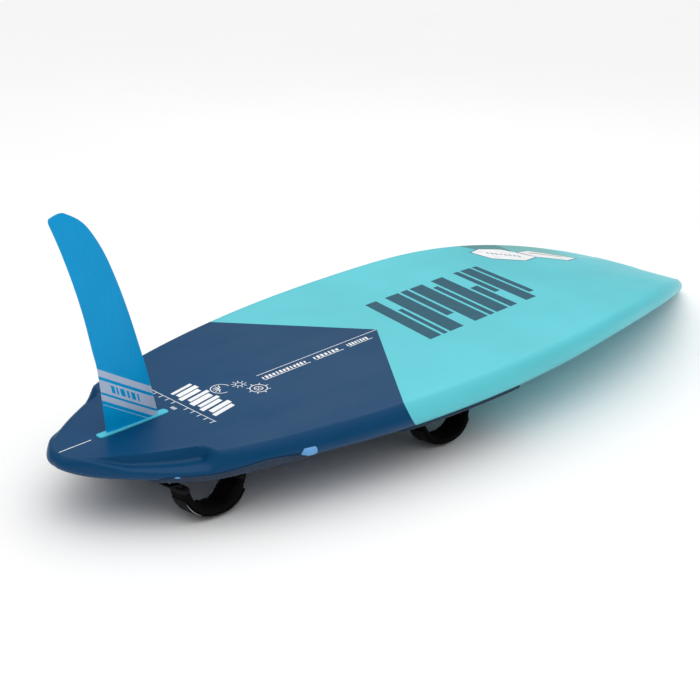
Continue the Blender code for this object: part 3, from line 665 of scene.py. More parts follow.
def paint_plane():
    """Normal, towards the nose, of the plane that parts the two tones on the left half."""
    normal = (PAINT_EDGE - PAINT_APEX).cross(PAINT_RAIL - PAINT_APEX).normalized()
    return normal if normal.x > 0 else -normal


# the grey-green wedge on the left side of the nose: a corner and a direction along each side
WEDGE = {"inner": (Vector((1.600, 0.250, 0)), Vector((1.888, 0.083, 0))),
         "aft": (Vector((1.600, 0.250, 0)), Vector((1.572, 0.330, 0))),
         "tone": (Vector((1.700, 0.200, 0)), Vector((1.735, 0.330, 0)))}


def wedge_side(line, point):
    """Positive to the nose side of a line across the board, or outboard of one along it."""
    start, end = WEDGE[line]
    along = end - start
    side = along.x * (point.y - start.y) - along.y * (point.x - start.x)
    return side if line == "inner" else -side


def split_by_plane(bm, point, normal, keep):
    """Adds edges where a plane crosses the faces that keep picks out."""
    faces = [f for f in bm.faces if keep(f.calc_center_median())]
    edges = {e for f in faces for e in f.edges}
    verts = {v for f in faces for v in f.verts}
    bmesh.ops.bisect_plane(bm, geom=list(verts) + list(edges) + faces, dist=0.00001,
                           plane_co=point, plane_no=normal)


def screw_holes():
    """A cutter for each strap screw and each spare hole beside it, in board axes."""
    cutters = []
    to_board = BOARD.inverted()
    for tag in STRAPS:
        place = to_board @ strap_axes(tag)
        for u in (-FOOT_U, FOOT_U):
            for shift in (-SPARE_HOLE_PITCH, 0.0, SPARE_HOLE_PITCH):
                hole = turned([(SCREW_HOLE, -0.012), (SCREW_HOLE, 0.012)], (u + shift, 0), 16)
                hole.transform(place)
                cutters.append(hole)
    return cutters


def close_bowed_end(bm, ring):
    """Close a ring whose halves mirror each other with narrow faces from side to side, so
    that the closed end follows the ring's bow."""
    count = len(ring)
    for k in range(count // 2):
        corners = [ring[k], ring[k + 1], ring[count - k - 1], ring[(count - k) % count]]
        bm.faces.new(list(dict.fromkeys(corners)))


def build_hull():
    """The laminate: one painted skin, open where the fittings sit in it."""
    loops = [hull_loop(x) for x in stations()]
    bm = loft(loops, closed_ends=False)
    count = len(loops[0])
    bm.verts.ensure_lookup_table()
    close_bowed_end(bm, bm.verts[:count])
    close_bowed_end(bm, bm.verts[-count:])
    bmesh.ops.recalc_face_normals(bm, faces=bm.faces)
    last = SEAM + GRIP_FROM
    for index, face in enumerate(bm.faces):
        step = index % count if index < count * (len(loops) - 1) else 0
        if last <= step < count - last:
            face.material_index = 1
    face_of_track = track_face()
    ways = [loft([head_outline(z, 0.0004) for z in (-0.02, 0.01)]),
            turned([(0.0123, deck_z(FIN_X) - 0.02), (0.0123, deck_z(FIN_X) + 0.02)], (FIN_X, 0)),
            loft([rounded_rectangle((TRACK_X, 0), TRACK_LENGTH + 2 * GAP, TRACK_WIDTH + 2 * GAP,
                                    z, 0.012) for z in (face_of_track - 0.02, face_of_track + 0.02)]),
            turned([(0.0153, deck_z(VENT_X) - 0.02), (0.0153, deck_z(VENT_X) + 0.02)], (VENT_X, 0))]
    bm = carved(bm, ways + [merge(*screw_holes())], slots=2, open_cuts=True)
    normal = paint_plane()
    split_by_plane(bm, PAINT_APEX, normal, lambda c: c.y > 0 and 0.55 < c.x < 1.10)
    split_by_plane(bm, PAINT_APEX, Vector((normal.x, -normal.y, normal.z)),
                   lambda c: c.y < 0 and 0.55 < c.x < 1.10)
    for start, end in WEDGE.values():
        along = end - start
        split_by_plane(bm, start, Vector((-along.y, along.x, 0)),
                       lambda c: c.y > 0.03 and 1.5 < c.x < 2.0)
    for face in bm.faces:
        centre = face.calc_center_median()
        mirrored = Vector((centre.x, abs(centre.y), centre.z))
        if (mirrored - PAINT_APEX).dot(normal) > 0:
            face.material_index += 2
        outer = wedge_side("inner", centre) > 0 and wedge_side("aft", centre) > 0
        on_rail = centre.z > bottom_z(centre.x) - rail_depth(centre.x) * 1.05
        if centre.y > 0.03 and 1.55 < centre.x < 1.885 and outer and on_rail:
            face.material_index = 5 if wedge_side("tone", centre) > 0 else 4

    def thicken(obj):
        solid = obj.modifiers.new("laminate", "SOLIDIFY")
        solid.thickness = LAMINATE
        solid.offset = -1.0
        solid.use_rim = True

    bm = shaped(bm, 6, thicken)
    tones = ("navy", "navy_grip", "turquoise", "turquoise_grip", "teal_dark", "teal_light")
    piece("hull_laminate", bm, tones, "board", smooth=38,
          stands_for=("bottom_shell", "deck_shell"), recalc=False)


# ---- graphics on the bottom ---------------------------------------------------------
def print_on_bottom(name, outlines, finish, lift=0.00005, thick=0.00012):
    """Thin printed shapes that follow the bottom, from closed (x, y) outlines."""
    bm = bmesh.new()
    for outline in outlines:
        bm.faces.new([bm.verts.new((x, y, 0)) for x, y in outline])
    bmesh.ops.triangulate(bm, faces=bm.faces)
    low = min(v.co.x for v in bm.verts)
    high = max(v.co.x for v in bm.verts)
    place = max(low, SCOOP_START - 0.05)
    while place < high:
        bmesh.ops.bisect_plane(bm, geom=bm.verts[:] + bm.edges[:] + bm.faces[:], dist=0.00001,
                               plane_co=(place, 0, 0), plane_no=(1, 0, 0))
        place += 0.012
    bmesh.ops.recalc_face_normals(bm, faces=bm.faces)
    top = bmesh.ops.extrude_face_region(bm, geom=bm.faces[:])
    raised = {v for v in top["geom"] if isinstance(v, bmesh.types.BMVert)}
    for vert in bm.verts:
        vert.co.z = bottom_z(vert.co.x) + lift + (thick if vert in raised else 0.0)
    piece(name, bm, [finish], "board", smooth=30)


def slanted_bar(x, y, length, width, slant=0.0, along_x=False):
    """A bar centred on (x, y); its ends are shifted by slant against each other. It runs
    across the board, or along it."""
    a, b = length / 2, width / 2
    corners = [(-a, -b), (a, -b), (a, b), (-a, b)]
    out = []
    for p, q in corners:
        q += slant * p / length
        out.append((x + p, y + q) if along_x else (x + q, y + p))
    return out


def ring(x, y, radius, width, count=40):
    """A ring, as quads."""
    out = []
    for i in range(count):
        a, b = 2 * math.pi * i / count, 2 * math.pi * (i + 1) / count
        inner, outer = radius - width / 2, radius + width / 2
        out.append([(x + inner * math.cos(a), y + inner * math.sin(a)),
                    (x + outer * math.cos(a), y + outer * math.sin(a)),
                    (x + outer * math.cos(b), y + outer * math.sin(b)),
                    (x + inner * math.cos(b), y + inner * math.sin(b))])
    return out


def spokes(x, y, inner, outer, width, angles):
    """Short radial bars."""
    out = []
    for degrees in angles:
        a = math.radians(degrees)
        ahead, side = Vector((math.cos(a), math.sin(a))), Vector((-math.sin(a), math.cos(a))) * width / 2
        near, far = Vector((x, y)) + ahead * inner, Vector((x, y)) + ahead * outer
        out.append([tuple(near - side), tuple(far - side), tuple(far + side), tuple(near + side)])
    return out


MOTIF_LEAN = 0.19           # how far the motif's bars lean, over their height
# start at the middle of its height, width, and the ends across the board
MOTIF_BARS = [(0.985, 0.040, -0.133, 0.133), (1.034, 0.015, -0.133, 0.050),
              (1.058, 0.050, -0.133, 0.133), (1.117, 0.026, -0.060, 0.133),
              (1.152, 0.050, -0.133, 0.133), (1.211, 0.018, -0.133, 0.095),
              (1.238, 0.046, -0.133, 0.133), (1.293, 0.028, -0.133, 0.025),
              (1.330, 0.020, -0.040, 0.133), (1.359, 0.042, -0.133, 0.133),
              (1.410, 0.020, -0.100, 0.133)]


def build_bottom_prints():
    tail_line = [slanted_bar(0.053, 0.0, 0.074, 0.0022, along_x=True)]
    print_on_bottom("print_tail_line", tail_line, "white")

    ruler = [slanted_bar(0.318, 0.0, 0.226, 0.0016)]
    for i in range(11):
        y = -0.108 + 0.0216 * i
        if i != 5:
            ruler.append(slanted_bar(0.3110, y, 0.011, 0.0020, along_x=True))
    ruler += [slanted_bar(0.2955, -0.006 + 0.004 * i, 0.009, 0.0022, along_x=True) for i in range(4)]
    print_on_bottom("print_fin_ruler", ruler, "white")

    # a row of speed bars, stepped at both ends
    bars = []
    edges = [(-0.080, 0.012, 0.000), (-0.062, 0.014, 0.006), (-0.0435, 0.013, -0.004),
             (-0.0265, 0.011, 0.004), (-0.0085, 0.016, -0.002), (0.0100, 0.011, 0.006),
             (0.0270, 0.013, -0.005), (0.0455, 0.014, 0.003), (0.0620, 0.009, 0.000)]
    for y, width, step in edges:
        bars.append(slanted_bar(0.365 + step, y, 0.062, width, slant=0.012, along_x=True))
    print_on_bottom("print_speed_bars", bars, "white")

    compass = ring(0.487, -0.052, 0.019, 0.0022) + ring(0.487, -0.052, 0.0095, 0.0018)
    compass += spokes(0.487, -0.052, 0.019, 0.0270, 0.0020, range(0, 360, 45))
    compass += spokes(0.487, -0.052, 0.002, 0.0082, 0.0018, range(45, 405, 90))
    sun = ring(0.470, -0.006, 0.0080, 0.0018, 28)
    sun += spokes(0.470, -0.006, 0.0105, 0.0180, 0.0018, range(20, 380, 40))
    crest = ring(0.427, 0.004, 0.0225, 0.0020, 36)[:27] + spokes(0.427, 0.004, 0.0040, 0.0175, 0.0022,
                                                                 (70, 100, 130, 160, 190, 220))
    print_on_bottom("print_emblems", compass + sun + crest, "white")

    centre = [slanted_bar(0.719, 0.0, 0.386, 0.0018, along_x=True)]
    for start, end, pitch in ((0.524, 0.667, 0.0105), (0.680, 0.773, 0.0120), (0.789, 0.870, 0.0090)):
        count = int((end - start) / pitch)
        for i in range(count):
            tall = 0.0130 if i % 3 else 0.0105
            bars_x = start + pitch * (i + 0.5)
            centre.append(slanted_bar(bars_x, -0.0195, tall, pitch * (0.62 if i % 4 else 0.40), 0.003))
        centre.append(slanted_bar((start + end) / 2, -0.0292, end - start - 0.004, 0.0020, along_x=True))
    print_on_bottom("print_centre_line", centre, "white")

    # the large dark motif: leaning bars of several widths and lengths
    motif = []
    for start, width, low, high in MOTIF_BARS:
        height, middle = high - low, (low + high) / 2
        motif.append(slanted_bar(start + width / 2 + MOTIF_LEAN * middle, middle, height, width,
                                 slant=MOTIF_LEAN * height))
    print_on_bottom("print_large_motif", motif, "slate")


NOSE_FLAGS = [
    [(1.556, 0.235), (1.609, 0.250), (1.677, 0.221), (1.694, 0.177), (1.710, 0.115), (1.636, 0.097),
     (1.560, 0.157)],
    [(1.703, 0.178), (1.760, 0.181), (1.860, 0.078), (1.792, 0.059), (1.714, 0.115)]]


def grown(outline, by):
    """The outline moved outward by a distance, about its own sides."""
    area = sum(a[0] * b[1] - a[1] * b[0] for a, b in zip(outline, outline[1:] + outline[:1]))
    turn = 1 if area > 0 else -1
    sides = []
    for a, b in zip(outline, outline[1:] + outline[:1]):
        along = (Vector(b) - Vector(a)).normalized()
        out = Vector((along.y, -along.x)) * turn
        sides.append((Vector(a) + out * by, along))
    moved = []
    for (p, d), (q, e) in zip(sides[-1:] + sides[:-1], sides):
        cross = d.x * e.y - d.y * e.x
        t = ((q.x - p.x) * e.y - (q.y - p.y) * e.x) / cross
        moved.append(tuple(p + d * t))
    return moved


def build_nose_prints():
    print_on_bottom("print_flag_outlines", [grown(flag, 0.0035) for flag in NOSE_FLAGS], "line_navy")
    print_on_bottom("print_flags", NOSE_FLAGS, "white", lift=0.00020, thick=0.00010)
    dashes = [slanted_bar(1.597 + 0.009 * i, 0.206 - 0.0095 * i, 0.016 if i % 3 else 0.011,
                          0.0045, 0.003) for i in range(8)]
    print_on_bottom("print_flag_dashes", dashes, "line_navy", lift=0.00034, thick=0.00008)
    streak = [[(1.722, 0.160), (1.752, 0.161), (1.822, 0.098), (1.812, 0.095), (1.748, 0.150)]]
    print_on_bottom("print_flag_streak", streak, "line_sand", lift=0.00034, thick=0.00008)


# ---- fin and its box ---------------------------------------------------------------
def fin_outline(t):
    """Trailing and leading edge of the blade, from the root (t = 0) round to the tip."""
    trailing = [(0.1270, 0), (0.1190, 0.130), (0.1098, 0.187), (0.0978, 0.2575), (0.0820, 0.326),
                (0.0626, 0.3946), (0.0470, 0.4410), (0.0412, 0.4580), (0.0420, 0.4680)]
    leading = [(0.2550, 0), (0.2345, 0.105), (0.2228, 0.1537), (0.2042, 0.2282), (0.1827, 0.3016),
               (0.1560, 0.3745), (0.1275, 0.4270), (0.1040, 0.4535), (0.0690, 0.4755)]
    return smooth_curve(trailing, t), smooth_curve(leading, t)


FIN_TIP = 0.965             # the blade's outline closes in an arc beyond this share


def foil_loop(t, steps=18):
    """Closed foil section: trailing edge, one side to the leading edge, and back."""
    back, front = fin_outline(t)
    lift = (HEAD_PROUD + GAP) * (1 - t)
    thick = (0.0100 * (1 - t) + 0.0024 * t) * (1 - 0.6 * smooth_step((t - 0.9) / 0.1))
    near_tip = max(0.0, (t - FIN_TIP) / (1 - FIN_TIP))
    chord = 0.06 + 0.94 * math.sqrt(1 - near_tip ** 2)
    back, front = back + (front - back) * 0.45 * (1 - chord), front + (back - front) * 0.55 * (1 - chord)
    side = []
    for i in range(steps + 1):
        share = math.sin(math.pi / 2 * i / steps) ** 1.15
        along = 1 - share                       # 0 at the leading edge
        shape = 5 * (0.2969 * math.sqrt(along) - 0.1260 * along - 0.3516 * along ** 2
                     + 0.2843 * along ** 3 - 0.1036 * along ** 4)
        side.append((share, max(thick * shape, 0.0003 if share < 0.5 else 0.00005)))
    across = side + [(s, -y) for s, y in side[::-1]]
    return [(back.x + (front.x - back.x) * s, y, back.y + (front.y - back.y) * s + lift)
            for s, y in across]


BAND_SLOPE = -0.626        # fall of the printed bands towards the leading edge
BAND_X = 0.12              # their heights are given on this line
BANDS = [(0.1449, 0.1300), (0.1230, 0.0965), (0.0914, 0.0784)]
FIN_LINE = (0.0702, 0.0688)
FIN_LINE_START = 0.126     # the thin line runs forward from here
BAND_MARGINS = 0.005, 0.006   # clear strips over and under the motif in the main band
BAR_LEAN, BAR_LEVEL = 0.18, 0.07   # the motif's bars lean aft, about this height
# bars of the motif inside the main band: place along the band, and width
BAND_BARS = [(0.150, 0.007), (0.160, 0.004), (0.168, 0.009), (0.181, 0.005), (0.190, 0.008),
             (0.202, 0.004)]


def build_fin():
    shares = [FIN_TIP * i / 66 for i in range(66)] + [
        FIN_TIP + (1 - FIN_TIP) * math.sin(math.pi / 2 * i / 12) for i in range(13)]
    bm = loft([foil_loop(t) for t in shares])
    slope = Vector((-BAND_SLOPE, 0, 1)).normalized()
    levels = sorted({z for pair in BANDS + [FIN_LINE] for z in pair}
                    | {BANDS[1][0] - BAND_MARGINS[0], BANDS[1][1] + BAND_MARGINS[1]})
    for z in levels:
        split_by_plane(bm, Vector((BAND_X, 0, z)), slope, lambda c: c.z < 0.2)
    lean = Vector((1, 0, BAR_LEAN)).normalized()
    for x, width in BAND_BARS:
        for end in (x, x + width):
            split_by_plane(bm, Vector((end, 0, BAR_LEVEL)), lean, lambda c: 0.03 < c.z < 0.13)
    split_by_plane(bm, Vector((FIN_LINE_START, 0, 0)), Vector((1, 0, 0)), lambda c: c.z < 0.09)
    for face in bm.faces:
        c = face.calc_center_median()
        level = c.z - BAND_SLOPE * (c.x - BAND_X)
        leaned = c.x + BAR_LEAN * (c.z - BAR_LEVEL)
        if any(low < level < high for high, low in BANDS):
            face.material_index = 1
        high, low = BANDS[1]
        clear = low + BAND_MARGINS[1] < level < high - BAND_MARGINS[0]
        if clear and any(x < leaned < x + w for x, w in BAND_BARS):
            face.material_index = 0
        if FIN_LINE[1] < level < FIN_LINE[0] and c.x > FIN_LINE_START:
            face.material_index = 2
    tenon = loft([rounded_rectangle((FIN_X, 0), TENON_LENGTH, TENON_WIDTH, z, TENON_CORNER)
                  for z in (-TENON_DEPTH, 0.010)])
    bm = shaped(bm, 3, lambda obj: [add_boolean(obj, tenon, "UNION")])
    piece("fin_blade_moulded", bm, ["fin", "fin_band", "fin_line"], "fin",
          smooth=28, stands_for=("fin_blade",), recalc=False)

    rows = [head_outline(-HEAD_DEPTH, -0.0012), head_outline(-HEAD_DEPTH + 0.0006, -0.0003)]
    rows += [head_outline(z) for z in (-HEAD_DEPTH + 0.002, -0.030, -0.010, 0.0, HEAD_PROUD - 0.0012)]
    rows += [head_outline(HEAD_PROUD - 0.0004, -0.0003), head_outline(HEAD_PROUD, -0.0012)]
    head = loft(rows)
    ways = [loft([rounded_rectangle((FIN_X, 0), TENON_LENGTH + 2 * GAP, TENON_WIDTH + 2 * GAP, z,
                                    TENON_CORNER) for z in (-TENON_DEPTH - GAP, 0.012)]),
            cross_cylinder((FIN_X, 0, NUT_Z), NUT_RADIUS + GAP, 0.03),
            turned([(BOLT_WAY, -HEAD_DEPTH - 0.01), (BOLT_WAY, NUT_Z + 0.0092)], (FIN_X, 0), 32)]
    piece("fin_head_moulded", carved(head, ways), ["head"], "fin", smooth=40,
          stands_for=("fin_head",))
    nut = cross_cylinder((FIN_X, 0, NUT_Z), NUT_RADIUS, NUT_LENGTH)
    nut = carved(bevelled(nut, 0.0005), [turned([(0.0034, NUT_Z - 0.01), (0.0034, NUT_Z + 0.01)],
                                                (FIN_X, 0), 32)])
    piece("fin_nut_turned", nut, ["brass"], "fin", stands_for=("fin_barrel_nut",))


def build_fin_box():
    floor = -HEAD_DEPTH - 0.009
    deck = deck_z(FIN_X) + 0.0008
    seat = deck + 0.0075
    top = -LAMINATE - GAP
    outer = [rounded_rectangle((FIN_X, 0), HEAD_LENGTH + 0.022, HEAD_WIDTH + 0.016, z, 0.008)
             for z in (top, floor)]
    outer += [rounded_rectangle((FIN_X, 0), 0.024, 0.024, z, 0.01199) for z in (floor, deck)]
    pocket = loft([head_outline(z, GAP) for z in (0.004, 0.0, -HEAD_DEPTH - 2 * GAP)])
    bolt_way = turned([(BOLT_WAY, -HEAD_DEPTH + 0.01), (BOLT_WAY, seat - 0.001)], (FIN_X, 0), 32)
    well = turned([(0.0090, seat), (0.0090, deck - 0.01)], (FIN_X, 0), 40)
    piece("fin_box_moulded", carved(loft(outer), [pocket, bolt_way, well]), ["black_plastic"],
          "board", smooth=40, stands_for=("fin_box",))

    washer_top = seat - GAP
    washer_low = washer_top - 0.0012
    washer = carved(turned([(0.0079, washer_low), (0.0082, washer_low + 0.0003),
                            (0.0082, washer_top - 0.0003), (0.0079, washer_top)], (FIN_X, 0)),
                    [turned([(0.0034, washer_low - 0.01), (0.0034, washer_top + 0.01)], (FIN_X, 0), 32)])
    piece("fin_washer_turned", washer, ["steel"], "fin_bolt_lift",
          stands_for=("fin_washer",))
    head_top = washer_low - GAP
    head_low = head_top - 0.0042
    profile = [(0.0046, head_low), (0.0052, head_low + 0.0002), (0.0056, head_low + 0.0007),
               (0.0057, head_low + 0.0012), (0.0057, head_top), (BOLT_RADIUS, head_top)]
    z, tip, pitch = -0.050, -0.0230, 0.001
    profile.append((BOLT_RADIUS, z))
    while z < tip - pitch:
        profile += [(0.00265, z + pitch / 2), (BOLT_RADIUS, z + pitch)]
        z += pitch
    profile.append((0.0024, -0.0222))
    bolt = carved(turned(profile, (FIN_X, 0)),
                  [turned([(0.0027, head_low - 0.01), (0.0027, head_low + 0.0026)], (FIN_X, 0), 6)])
    piece("fin_bolt_turned", bolt, ["steel"], "fin_bolt", stands_for=("fin_bolt",))


# ---- mast track and vent -------------------------------------------------------------
def track_face():
    """Height of the mast track's face, a little under the deck at its lowest place."""
    ends = (TRACK_X - TRACK_LENGTH / 2, TRACK_X, TRACK_X + TRACK_LENGTH / 2)
    return min(deck_z(x) for x in ends) - 0.0015


def build_mast_track():
    face = track_face()
    floor = face + TRACK_DEPTH
    centre = (TRACK_X, 0)
    rows = [rounded_rectangle(centre, TRACK_LENGTH - d, TRACK_WIDTH - d, face + z, 0.012 - d / 2)
            for d, z in ((0.0050, 0.0), (0.0032, 0.0003), (0.0016, 0.0010), (0.0, 0.0022))]
    rows.append(rounded_rectangle(centre, TRACK_LENGTH, TRACK_WIDTH, floor, 0.012))
    slot = loft([rounded_rectangle(centre, length, width, z, radius) for length, width, radius, ends in
                 ((SLOT_LENGTH + 0.004, SLOT_WIDTH + 0.004, 0.0065, (face - 0.01, face - 0.0001)),
                  (SLOT_LENGTH, SLOT_WIDTH, 0.0045, (face + 0.0015, face + 0.008)),
                  (SLOT_LENGTH + 0.012, CHANNEL_WIDTH, 0.0045, (face + 0.008, face + 0.030)))
                 for z in ends])
    marks = []
    for i in range(13):
        x = TRACK_X - 0.108 + 0.018 * i
        reach = 0.006 if i % 3 else 0.009
        for side in (-1, 1):
            y = side * (0.0085 + reach / 2)
            marks.append(loft([rounded_rectangle((x, y), 0.0014, reach, z, 0.0004, 3)
                               for z in (face - 0.002, face + 0.0005)]))
    piece("mast_track_moulded", carved(loft(rows), [slot, merge(*marks)]), ["black_plastic"],
          "board", smooth=40, stands_for=("mast_track_box",))


def build_vent():
    centre = (VENT_X, 0)
    face = deck_z(VENT_X) - 0.0008
    insert = turned([(0.0134, face), (0.0142, face + 0.0002), (0.0150, face + 0.0010),
                     (0.0150, face + 0.026)], centre)
    bore = turned([(0.0098, face - 0.01), (0.0098, face - 0.0001), (0.0095, face + 0.0005),
                   (0.0095, face + 0.0062)], centre)
    narrow = turned([(0.0047, face + 0.005), (0.0047, face + 0.018)], centre, 32)
    piece("vent_insert_moulded", carved(insert, [bore, narrow]), ["grey_plastic"], "board",
          smooth=40, stands_for=("vent_insert",))
    head_top = face + 0.0040 - GAP
    profile = [(0.0070, face - 0.0004), (0.0079, face - 0.0002), (0.0086, face + 0.0003),
               (0.0088, face + 0.0009), (0.0088, head_top), (0.0043, head_top)]
    z = head_top
    while z < face + 0.0135:
        profile += [(0.0039, z + 0.00075), (0.0043, z + 0.0015)]
        z += 0.0015
    profile.append((0.0036, face + 0.0158))
    groove = loft([rounded_rectangle(centre, 0.0130, 0.0020, z, 0.0008)
                   for z in (face - 0.01, face + 0.0020)])
    piece("vent_screw_moulded", carved(turned(profile, centre), [groove]), ["black_plastic"],
          "vent_screw", smooth=40, stands_for=("vent_screw",))


# ---- deck pads ---------------------------------------------------------------------
def deck_curve_point(x, degrees, side, lift):
    """A point on the deck curve at an angle from the rail (0) to the centre line (90),
    lifted off the deck."""
    width, depth = rail_reach(x), rail_depth(x)
    rise = thickness(x) - depth

    def at(angle):
        a = math.radians(angle)
        return Vector((width * math.cos(a) ** (2 / DECK_POWER_Y),
                       bottom_z(x) - depth - rise * math.sin(a) ** (2 / DECK_POWER_Z)))

    here, before, after = at(degrees), at(degrees - 1.5), at(min(degrees + 1.5, 89))
    along = (after - before).normalized()
    outward = Vector((-along.y, along.x))
    if outward.y > 0:
        outward = -outward
    moved = here + outward * lift
    return (x, side * moved.x, moved.y)


PADS = {"front": dict(start=0.66, end=1.035, middle=41.0, span=54.0, round=3.4),
        "rear": dict(start=0.135, end=0.415, middle=38.0, span=72.0, round=3.4)}
GROOVE_PITCH, GROOVE_WIDTH, GROOVE_DEPTH = 0.022, 0.0032, 0.0018
SKIVE = 0.006               # width of the pad's slanted edge
# metres that a degree round the deck counts for at a pad's long edges; the deck curve has
# about that at the front pads' inner edge and less elsewhere, so the others are steeper
EDGE_PER_DEGREE = 0.0058


def pad_lift(x, degrees, pad, spread):
    """Height of the pad's surface over the deck: full, less the grooves and the edge."""
    edge = min(x - pad["start"], pad["end"] - x,
               (spread - abs(degrees - pad["middle"])) * EDGE_PER_DEGREE)
    slope = min(max(edge / SKIVE, 0.0), 1.0)
    height = 0.0018 + (PAD_THICK - 0.0018) * (1 - (1 - slope) ** 2)
    wave = 0.010 * math.sin(math.radians(degrees * 9))
    phase = ((x + wave) / GROOVE_PITCH) % 1.0
    near = abs(phase - 0.5) * GROOVE_PITCH
    groove = smooth_step(1 - near / GROOVE_WIDTH) if near < GROOVE_WIDTH else 0.0
    return height - GROOVE_DEPTH * groove * slope


def build_pads():
    to_board = BOARD.inverted()
    for place, pad in PADS.items():
        rows = int((pad["end"] - pad["start"]) / 0.0018)
        columns = 64
        for side, hand in ((1, "left"), (-1, "right")):
            top, low = [], []
            for i in range(rows + 1):
                u = i / rows
                x = pad["start"] + (pad["end"] - pad["start"]) * u
                bow = max(0.0, 1 - abs(2 * u - 1) ** pad["round"]) ** (1 / pad["round"])
                spread = pad["span"] * (0.35 + 0.65 * bow) / 2
                angles = [pad["middle"] + spread * math.sin(math.pi / 2 * (2 * j / columns - 1))
                          for j in range(columns + 1)]
                top.append([deck_curve_point(x, a, side, pad_lift(x, a, pad, spread)) for a in angles])
                low.append([deck_curve_point(x, a, side, GAP) for a in angles])
            frame_of = to_board @ strap_axes(f"{place}_{hand}")
            rooms = []
            for u in (-FOOT_U, FOOT_U):
                room = loft([rounded_rectangle((u, 0), 0.0606, 0.0166, z, 0.0080)
                             for z in (-0.010, 0.012)])
                room.transform(frame_of)
                rooms.append(room)
            name = f"deck_pad_{place}_{hand}"
            made = piece(f"{name}_foam", carved(sheet_solid(top, low), rooms), ["pad"], "board",
                         smooth=60, stands_for=(name,))


def shell_point(x, index, side, lift):
    """A point on the hull's section at a fractional index of half_section, lifted off."""
    half = half_section(x)
    k = int(index)
    here = Vector(half[k]).lerp(Vector(half[k + 1]), index - k)
    along = (Vector(half[k + 2]) - Vector(half[k - 1])).normalized()
    moved = here + Vector((-along.y, along.x)) * lift
    return (x, side * moved.x, moved.y)


# light tabs of pad foam on the rail: start and end along the board, and how far they
# reach up the rail and in under the deck, in steps of the section
TABS = {"fore": (0.3960, 0.4300, 1.7, 4.8), "aft": (0.1560, 0.1700, -1.0, 4.0)}


def build_pad_tabs():
    for label, (start, end, up, under) in TABS.items():
        for side, hand in ((1, "left"), (-1, "right")):
            top, low = [], []
            for i in range(21):
                u = i / 20
                line_top, line_low = [], []
                for j in range(25):
                    v = j / 24
                    x = start + (end - start) * u + 0.011 * (0.45 - v) * (1 - 2 * u)
                    edge = min(u, 1 - u, v, 1 - v)
                    lift = 0.0010 + 0.0016 * (1 - (1 - min(edge * 6, 1.0)) ** 2)
                    index = SEAM - up + (up + under) * v
                    line_top.append(shell_point(x, index, side, lift))
                    line_low.append(shell_point(x, index, side, GAP))
                top.append(line_top)
                low.append(line_low)
            tab = piece(f"deck_pad_tab_{label}_{hand}", sheet_solid(top, low), ["pad_accent"],
                        "board", smooth=60)


# ---- foot straps -------------------------------------------------------------------
def node_points(name):
    return np.array([v.co for v in frame["nodes"][name].data.vertices], float)


def strap_axes(tag):
    """Strap axes from the frame's washers: u along the strap, v across its band and n out
    of the deck, with the origin on the deck."""
    aft, fore = (node_points(f"strap_washer_{tag}_{end}") for end in ("aft", "fore"))
    start, end = ((p.max(0) + p.min(0)) / 2 for p in (aft, fore))
    u = Vector(end - start).normalized()
    spread = np.vstack([aft - start, fore - end])
    spread -= np.outer(spread @ np.array(u), np.array(u))
    v = Vector(np.linalg.svd(spread, full_matrices=False)[2][0]).normalized()
    n = u.cross(v).normalized()
    if n.z > 0:
        n = -n
    v = n.cross(u)
    made = Matrix((u, v, n)).transposed().to_4x4()
    made.translation = (Vector(start) + Vector(end)) / 2 - n * 0.0114
    return made


FLAP_RISE = 0.0011  # the flap and its stitches stand this far off the cover


def strap_height(tag, axes):
    """Height of the webbing's middle line at the top of the arch, from the frame's cover."""
    cover = node_points(f"strap_cover_{tag}")
    points = (np.array(axes.inverted()) @ np.c_[cover, np.ones(len(cover))].T).T
    return points[:, 2].max() - COVER_THICK / 2 - FLAP_RISE


def arch_point(degrees, height):
    """A point (u, n) of the webbing's middle line on the arch."""
    a = math.radians(degrees)
    return Vector((-STRAP_HALF * math.copysign(abs(math.cos(a)) ** 0.86, math.cos(a)),
                   WEB_BASE + (height - WEB_BASE) * math.sin(a) ** 0.92))


def arch_frame(degrees, height):
    """Middle line point and outward direction at an angle of the arch."""
    here = arch_point(degrees, height)
    before, after = arch_point(degrees - 1.5, height), arch_point(degrees + 1.5, height)
    along = (after - before).normalized()
    return here, Vector((-along.y, along.x))


def oval(width, thick, power, count):
    """Points (v, lift) round a superellipse."""
    points = []
    for i in range(count):
        a = 2 * math.pi * i / count
        c, s = math.cos(a), math.sin(a)
        points.append((width / 2 * math.copysign(abs(c) ** (2 / power), c),
                       thick / 2 * math.copysign(abs(s) ** (2 / power), s)))
    return points


def arch_sweep(height, start, end, steps, section):
    """Loops of points along the arch from start to end degrees; section(share, degrees)
    gives the (v, lift) points."""
    loops = []
    for i in range(steps + 1):
        degrees = start + (end - start) * i / steps
        here, out = arch_frame(degrees, height)
        loops.append([(here.x + out.x * lift, v, here.y + out.y * lift)
                      for v, lift in section(i / steps, degrees)])
    return loops


COVER_FROM, COVER_TO = 8.0, 172.0
PADDING = {"front": (0.0035, 0.0025), "rear": (0.0075, 0.0150)}  # at the top, more at the fore leg


def cover_size(degrees):
    """Width of the cover at an angle of the arch, and twice its reach outward from the
    webbing's middle line."""
    away = abs(degrees - 90) / 90
    return COVER_WIDTH - 0.013 * away ** 2.2, COVER_THICK - 0.0018 * away ** 2


def padding(tag, degrees):
    """How much further the cover reaches inward than outward; its fore leg is fuller."""
    top, leg = PADDING[tag.split("_")[0]]
    return top + leg * smooth_step((degrees - 95) / 40) * (1 - 0.6 * smooth_step((degrees - 148) / 24))


def webbing_room(height, start, end, steps):
    """A cutter for the webbing's way through the cover and its bindings."""
    return loft(arch_sweep(height, start, end, steps, lambda share, degrees:
                           oval(WEB_WIDTH + 0.0012, WEB_THICK + 0.0010, 8.0, 28)))


